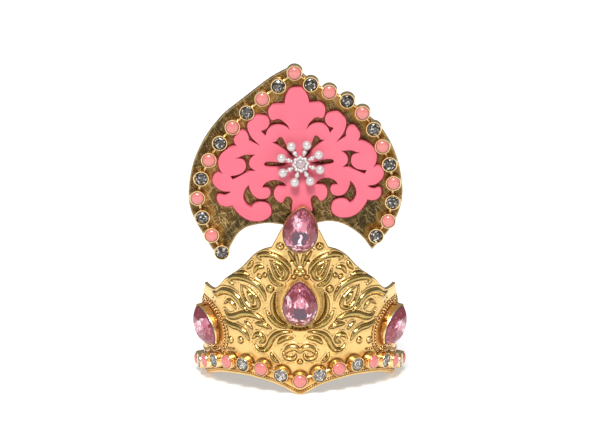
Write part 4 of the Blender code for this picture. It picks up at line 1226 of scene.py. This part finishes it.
def front_loops(node, place):
    """Closed outlines of a flat sheet's front, in its own frame, in millimetres."""
    away = place.inverted()
    shape = bmesh.new()
    shape.from_mesh(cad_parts[node].data)
    bmesh.ops.remove_doubles(shape, verts=shape.verts, dist=1e-6)
    front = {f for f in shape.faces if all(abs((away @ v.co).z) < 2e-5 for v in f.verts)}
    following = {}
    for face in front:
        for loop in face.loops:
            edge = loop.edge
            if sum(f in front for f in edge.link_faces) == 1:
                following.setdefault(loop.vert.index, []).append(loop.link_loop_next.vert.index)
    spots = {v.index: (away @ v.co) / MM for v in shape.verts}
    shape.free()
    loops = []
    while following:
        start = next(iter(following))
        loop, here = [], start
        while True:
            loop.append(here)
            onward = following[here].pop()
            if not following[here]:
                del following[here]
            here = onward
            if here == start:
                break
        loops.append([tuple(spots[i].to_2d()) for i in loop])
    return loops


def thick_sheet(name, loops, place, thickness, bevel, inner=()):
    """A flat sheet with these outlines, whose front edges are eased by a bevel of this width. Inner points
    keep its front finely divided, for what is painted on it."""
    points, edges = [], []
    for loop in loops:
        first, count = len(points), len(loop)
        points += loop
        edges += [(first + i, first + (i + 1) % count) for i in range(count)]
    points += [tuple(p) for p in inner]
    flat, _, triangles, _, _, _ = geometry.delaunay_2d_cdt([Vector(p) for p in points], edges, [], 0, 1e-6)
    flat = np.array([tuple(p) for p in flat])
    middles = flat[np.array(triangles)].mean(axis=1)
    within = np.zeros(len(middles), bool)
    for loop in loops:
        within ^= points_inside(middles, loop)
    kept = np.array(triangles)[within]
    shape = bmesh.new()
    verts = [shape.verts.new((x, y, 0.0)) for x, y in flat]
    for triangle in kept:
        shape.faces.new([verts[i] for i in triangle])
    bmesh.ops.delete(shape, geom=[v for v in shape.verts if not v.link_faces], context="VERTS")
    if len(inner) == 0:
        bmesh.ops.dissolve_limit(shape, angle_limit=math.radians(1.0), verts=shape.verts, edges=shape.edges)
    grown = bmesh.ops.extrude_face_region(shape, geom=shape.faces[:])
    low = [v for v in grown["geom"] if isinstance(v, bmesh.types.BMVert)]
    bmesh.ops.translate(shape, verts=low, vec=(0, 0, -thickness))
    bmesh.ops.recalc_face_normals(shape, faces=shape.faces)
    front = [e for e in shape.edges if all(v.co.z > -1e-6 for v in e.verts)
             and any(abs(f.normal.z) < 0.5 for f in e.link_faces)]
    bmesh.ops.bevel(shape, geom=front, offset=bevel, segments=2, profile=0.5, affect="EDGES",
                    clamp_overlap=True)
    for v in shape.verts:
        v.co = place @ (v.co * MM)
    mesh = bpy.data.meshes.new(name)
    shape.to_mesh(mesh)
    shape.free()
    piece = bpy.data.objects.new(name, mesh)
    bpy.context.scene.collection.objects.link(piece)
    activate(piece)
    bpy.ops.object.shade_smooth_by_angle(angle=math.radians(35))
    return piece


class CROWN_OT_plaque(bpy.types.Operator):
    """Makes the leaf of gold mirror sheet"""
    bl_idname = "crown.plaque"
    bl_label = "Mirror plaque"

    def execute(self, context):
        place, thickness = sheet_frame("plaque")
        loops = [smooth_loop(loop, step=0.7, corner=math.radians(40))
                 for loop in front_loops("plaque", place)]
        inner = inner_grid(loops[0], PLAQUE_GRID, clearance=0.4)
        plaque = thick_sheet("mirror_plaque", loops, place, thickness, PLAQUE_BEVEL, inner)
        away = place.inverted()
        spots = np.array([tuple((away @ v.co) / MM) for v in plaque.data.vertices])
        front = spots[:, 2] > -PLAQUE_FRONT
        for name, values in mirror_masks(spots[:, :2], away, loops[0]).items():
            paint(plaque, name, values * front)
        settle(plaque, mirror_finish(context.scene.crown_sheet), "mirror_gold_sheet", "plaque")
        return {"FINISHED"}


def mirror_masks(spots, away, outline):
    """Masks over the plaque's front: the dim painted reflection of the cups, the painted shadow and
    reflection of the cut-out's edge, the darker parts of the painted reflection and the painted highlight of
    the bright rim.
    The spots are in the plaque's own frame, which away leads to."""
    from_cups = np.full(len(spots), 1e9)
    for _, _, seat in chain_stones("plaque_chain"):
        cup = (away @ seat.translation) / MM
        from_cups = np.minimum(from_cups, np.hypot(spots[:, 0] - cup.x, spots[:, 1] - cup.y))
    raised_spots = spots + np.array([0.0, CUTOUT_IMAGE_DROP])
    from_cutout = np.full(len(spots), 1e9)
    for loop in front_loops("damask_cutout", sheet_frame("damask_cutout")[0]):
        from_cutout = np.minimum(from_cutout, distance_to_line(raised_spots, loop + loop[:1])[0])
    from_rim, _ = distance_to_line(spots, outline + outline[:1])
    across, upwards = spots[:, 0], spots[:, 1]
    # Painted darker reflection along the outer left rim, to the right and at the foot
    outer_left = (smoothstep(*DARK_RIM, from_rim) * smoothstep(*DARK_RIM_ACROSS, across)
                  * smoothstep(*DARK_RIM_UPWARDS, upwards))
    dim = np.maximum(smoothstep(*DIM_RIGHT, across), 0.4 * smoothstep(*DIM_FOOT, upwards))
    # Painted reflection of the cups
    return {"glow": smoothstep(*CUP_IMAGE, from_cups) * (1.0 - 0.7 * outer_left),
            # Painted shadow and reflection just below the cut-out's edges
            "pink": smoothstep(*CUTOUT_IMAGE, from_cutout),
            "dim": np.maximum(dim, 0.95 * outer_left),
            # Painted highlight along the rim
            "rim": smoothstep(*BRIGHT_RIM, from_rim)}


def mirror_finish(settings):
    """Gold mirror sheet with fine scratches; its dark base is a painted reflection of dark surroundings, and
    the dim images of what stands on it, its darker parts and its bright rim are painted light.
    """
    sheet = Finish("scratched_gold_mirror", metallic=1.0)
    glow, pink, dim = (sheet.attribute(name) for name in ("glow", "pink", "dim"))
    cloud = sheet.noise(60.0, detail=4.0)
    scratches = 0.0
    for turn, scale in MIRROR_STROKES:
        stroke = sheet.noise(scale, detail=1.0, stretch=STROKE_STRETCH, turn=math.radians(turn))
        scratches = stroke.ramp(0.57, 0.72) + scratches
    speckle = sheet.noise(700.0, detail=3.0).ramp(0.35, 0.65, 0.3, 1.0)
    marks = scratches * speckle
    # Painted dark reflection of the surroundings
    dark = sheet.mix(cloud.ramp(0.35, 0.7), settings.mirror_dark_reflection, tinted(settings.mirror_dark_reflection, 1.6))
    # Painted darker, greener reflection
    dark = sheet.mix(dim * 0.7, dark, settings.mirror_green)
    # Painted reflection of the cups
    dark = sheet.mix(glow * cloud.ramp(0.3, 0.65, 0.35, 0.95), dark, settings.mirror_cup_reflection)
    tone = sheet.mix(marks.ramp(0.1, 1.0, 0.0, 0.95) * (1.0 - dim * 0.4), dark, settings.mirror_gold)
    # Painted shadow and reflection of the cut-out's edge
    tone = sheet.mix(pink * 0.75, tone, settings.mirror_cutout_shadow)
    # Painted highlight along the rim
    sheet.varies("Base Color", sheet.mix(sheet.attribute("rim") * 0.5, tone, settings.mirror_rim_highlight))
    sheet.varies("Roughness", marks.ramp(0.0, 1.0, 0.2, 0.45))
    sheet.bump(marks, strength=0.3, distance=0.00005)
    return sheet


class CROWN_OT_damask(bpy.types.Operator):
    """Makes the pink damask cut-out"""
    bl_idname = "crown.damask"
    bl_label = "Damask cut-out"

    def execute(self, context):
        place, thickness = sheet_frame("damask_cutout")
        loops = [smooth_loop(loop, step=0.3, corner=math.radians(62))
                 for loop in front_loops("damask_cutout", place)]
        damask = thick_sheet("damask_ornament", loops, place, thickness, DAMASK_BEVEL)
        settle(damask, damask_finish(context.scene.crown_sheet), "pink_cutout", "damask_cutout")
        return {"FINISHED"}


def damask_finish(settings):
    """Matte pink sheet with a fine grain."""
    sheet = Finish("pink_damask_sheet", roughness=0.6, specular_ior_level=0.25)
    cloud = sheet.noise(90.0, detail=3.0)
    grain = sheet.noise(2200.0, detail=2.0)
    sheet.varies("Base Color", sheet.mix(cloud.ramp(0.3, 0.7, 0.0, 0.5), settings.damask,
                                         tinted(settings.damask, 1.05, 1.2, 1.15)))
    sheet.varies("Roughness", grain.ramp(0.3, 0.7, 0.5, 0.7))
    sheet.bump(grain, strength=0.1, distance=0.00005)
    return sheet


class CROWN_OT_flower(bpy.types.Operator):
    """Makes the pearl flower"""
    bl_idname = "crown.flower"
    bl_label = "Pearl flower"

    def execute(self, context):
        centre, turn = flower_frame()
        pearl = shape_of(small_ball("pearl", sides=24, rings=16))
        bead = shape_of(small_ball("bead", sides=14, rings=10))
        pearls, beads = [], []
        for k in range(FLOWER_ARMS):
            for table, places in ((ARM_PEARLS, pearls), (ARM_BEADS, beads)):
                for distance, height, radius, shift in table:
                    angle = turn + (k + shift) * 2 * math.pi / FLOWER_ARMS
                    place = Matrix.Translation(Vector((distance, 0, height)) * MM) @ Matrix.Scale(radius, 4)
                    places.append(centre @ Matrix.Rotation(angle, 4, "Z") @ place)
        shapes = joined(copies(pearl, pearls), copies(bead, beads))
        flower = make_piece("pearl_blossom", *shapes, smooth_angle=math.radians(60))
        settle(flower, pearl_finish(context.scene.crown_stone), "white_pearl", "pearl_flower")
        dome = shape_of(round_dome("dome", 24, 14, radius=HEART_RADIUS, rise=HEART_RISE))
        hub = shape_of(turned("hub", sides=24, profile=HUB_PROFILE))
        lift = Matrix.Translation((0, 0, HEART_LIFT * MM))
        shapes = joined(copies(hub, [centre]), copies(dome, [centre @ lift]))
        heart = make_piece("blossom_heart", *shapes, smooth_angle=math.radians(60))
        settle(heart, heart_finish(context.scene.crown_stone), "white_pearl")
        return {"FINISHED"}


def flower_frame():
    """Frame of the flower at the height of its pearls, and the turn of its first arm."""
    place, _ = sheet_frame("plaque")
    away = place.inverted()
    spots = [(away @ v.co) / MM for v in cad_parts["pearl_flower"].data.vertices]
    low = Vector((min(p[axis] for p in spots) for axis in range(3)))
    high = Vector((max(p[axis] for p in spots) for axis in range(3)))
    middle = (low + high) / 2
    far = max(spots, key=lambda p: (p.to_2d() - middle.to_2d()).length)
    height = high.z - PEARL_BELOW_TOP
    centre = place @ Matrix.Translation(Vector((middle.x, middle.y, height)) * MM)
    return centre, math.atan2(far.y - middle.y, far.x - middle.x)


def pearl_finish(settings):
    """White pearls with a bright coat."""
    pearl = Finish("white_pearl_coat", roughness=0.25, coat_weight=1.0, coat_roughness=0.18, coat_ior=2.2)
    cloud = pearl.noise(700.0, detail=2.0)
    pearl.varies("Base Color", pearl.mix(cloud.ramp(0.35, 0.7), settings.pearl, tinted(settings.pearl, 0.94)))
    return pearl


def heart_finish(settings):
    """Greyish pink stone in the middle of the flower."""
    stone = Finish("blossom_heart_stone", roughness=0.1, coat_weight=0.8, coat_roughness=0.05)
    cloud = stone.noise(1400.0, detail=2.0)
    stone.varies("Base Color", stone.mix(cloud.ramp(0.35, 0.65), settings.pearl_heart,
                                         tinted(settings.pearl_heart, 1.35)))
    return stone


class CROWN_OT_stage(bpy.types.Operator):
    """Makes the floor, the lights and the camera"""
    bl_idname = "crown.stage"
    bl_label = "Floor, light and camera"

    def execute(self, context):
        settings = context.scene.crown_stage
        deselect()
        bpy.ops.mesh.primitive_plane_add(size=8.0)
        floor = context.object
        floor.name = "floor"
        finish = Finish("pale_floor", roughness=0.75, specular_ior_level=0.1,
                        emission_strength=settings.floor_glow, emission_color=(1.0, 1.0, 1.0, 1.0))
        finish.varies("Base Color", finish.mix(finish.noise(3.0, detail=2.0), settings.floor,
                                               tinted(settings.floor, 0.99)))
        floor.data.materials.append(finish.material)
        sun = bpy.data.objects.new("main_light", bpy.data.lights.new("main_light", "SUN"))
        sun.data.energy = settings.sun_strength
        sun.data.angle = settings.sun_size
        sun.rotation_euler = (math.pi / 2 - settings.sun_height, 0.0, math.radians(-4.0))
        context.scene.collection.objects.link(sun)
        world = bpy.data.worlds.new("soft_surroundings")
        world.use_nodes = True
        world.node_tree.nodes["Background"].inputs["Color"].default_value = (1.0, 1.0, 1.0, 1.0)
        world.node_tree.nodes["Background"].inputs["Strength"].default_value = settings.sky_strength
        context.scene.world = world
        context.scene.view_settings.view_transform = "Standard"
        eye = bpy.data.cameras.new("camera")
        eye.lens = CAMERA_LENS
        eye.sensor_width = SENSOR_WIDTH
        eye.clip_end = 20.0
        camera = bpy.data.objects.new("camera", eye)
        camera.location = Vector(CAMERA_PLACE) * MM
        camera.rotation_euler = (math.radians(90.0 - CAMERA_DOWN), 0.0, 0.0)
        context.scene.collection.objects.link(camera)
        context.scene.camera = camera
        return {"FINISHED"}


OPERATORS = (CROWN_OT_band, CROWN_OT_beading, CROWN_OT_bezels, CROWN_OT_gems, CROWN_OT_cups,
             CROWN_OT_cabochons, CROWN_OT_crystals, CROWN_OT_plaque, CROWN_OT_damask, CROWN_OT_flower,
             CROWN_OT_stage)
SETTINGS = {"crown_band": CrownBandSettings, "crown_setting": CrownSettingSettings,
            "crown_stone": CrownStoneSettings, "crown_sheet": CrownSheetSettings,
            "crown_stage": CrownStageSettings}


class CROWN_PT_panel(bpy.types.Panel):
    """Lists the pieces of the crown"""
    bl_label = "Deity crown"
    bl_idname = "CROWN_PT_panel"
    bl_space_type = "VIEW_3D"
    bl_region_type = "UI"
    bl_category = "Crown"

    def draw(self, context):
        for operator in OPERATORS:
            self.layout.operator(operator.bl_idname)
        for name in SETTINGS:
            group = getattr(context.scene, name)
            for label in group.__annotations__:
                self.layout.prop(group, label)


def register():
    for name, settings in SETTINGS.items():
        bpy.utils.register_class(settings)
        setattr(bpy.types.Scene, name, PointerProperty(type=settings))
    for operator in OPERATORS:
        bpy.utils.register_class(operator)
    bpy.utils.register_class(CROWN_PT_panel)


def unregister():
    bpy.utils.unregister_class(CROWN_PT_panel)
    for operator in OPERATORS:
        bpy.utils.unregister_class(operator)
    for name, settings in SETTINGS.items():
        delattr(bpy.types.Scene, name)
        bpy.utils.unregister_class(settings)


def main():
    register()
    bpy.ops.crown.stage()
    bpy.ops.crown.band()
    bpy.ops.crown.beading()
    bpy.ops.crown.bezels()
    bpy.ops.crown.gems()
    bpy.ops.crown.cups()
    bpy.ops.crown.cabochons()
    bpy.ops.crown.crystals()
    bpy.ops.crown.plaque()
    bpy.ops.crown.damask()
    bpy.ops.crown.flower()


if __name__ == "__main__":
    main()
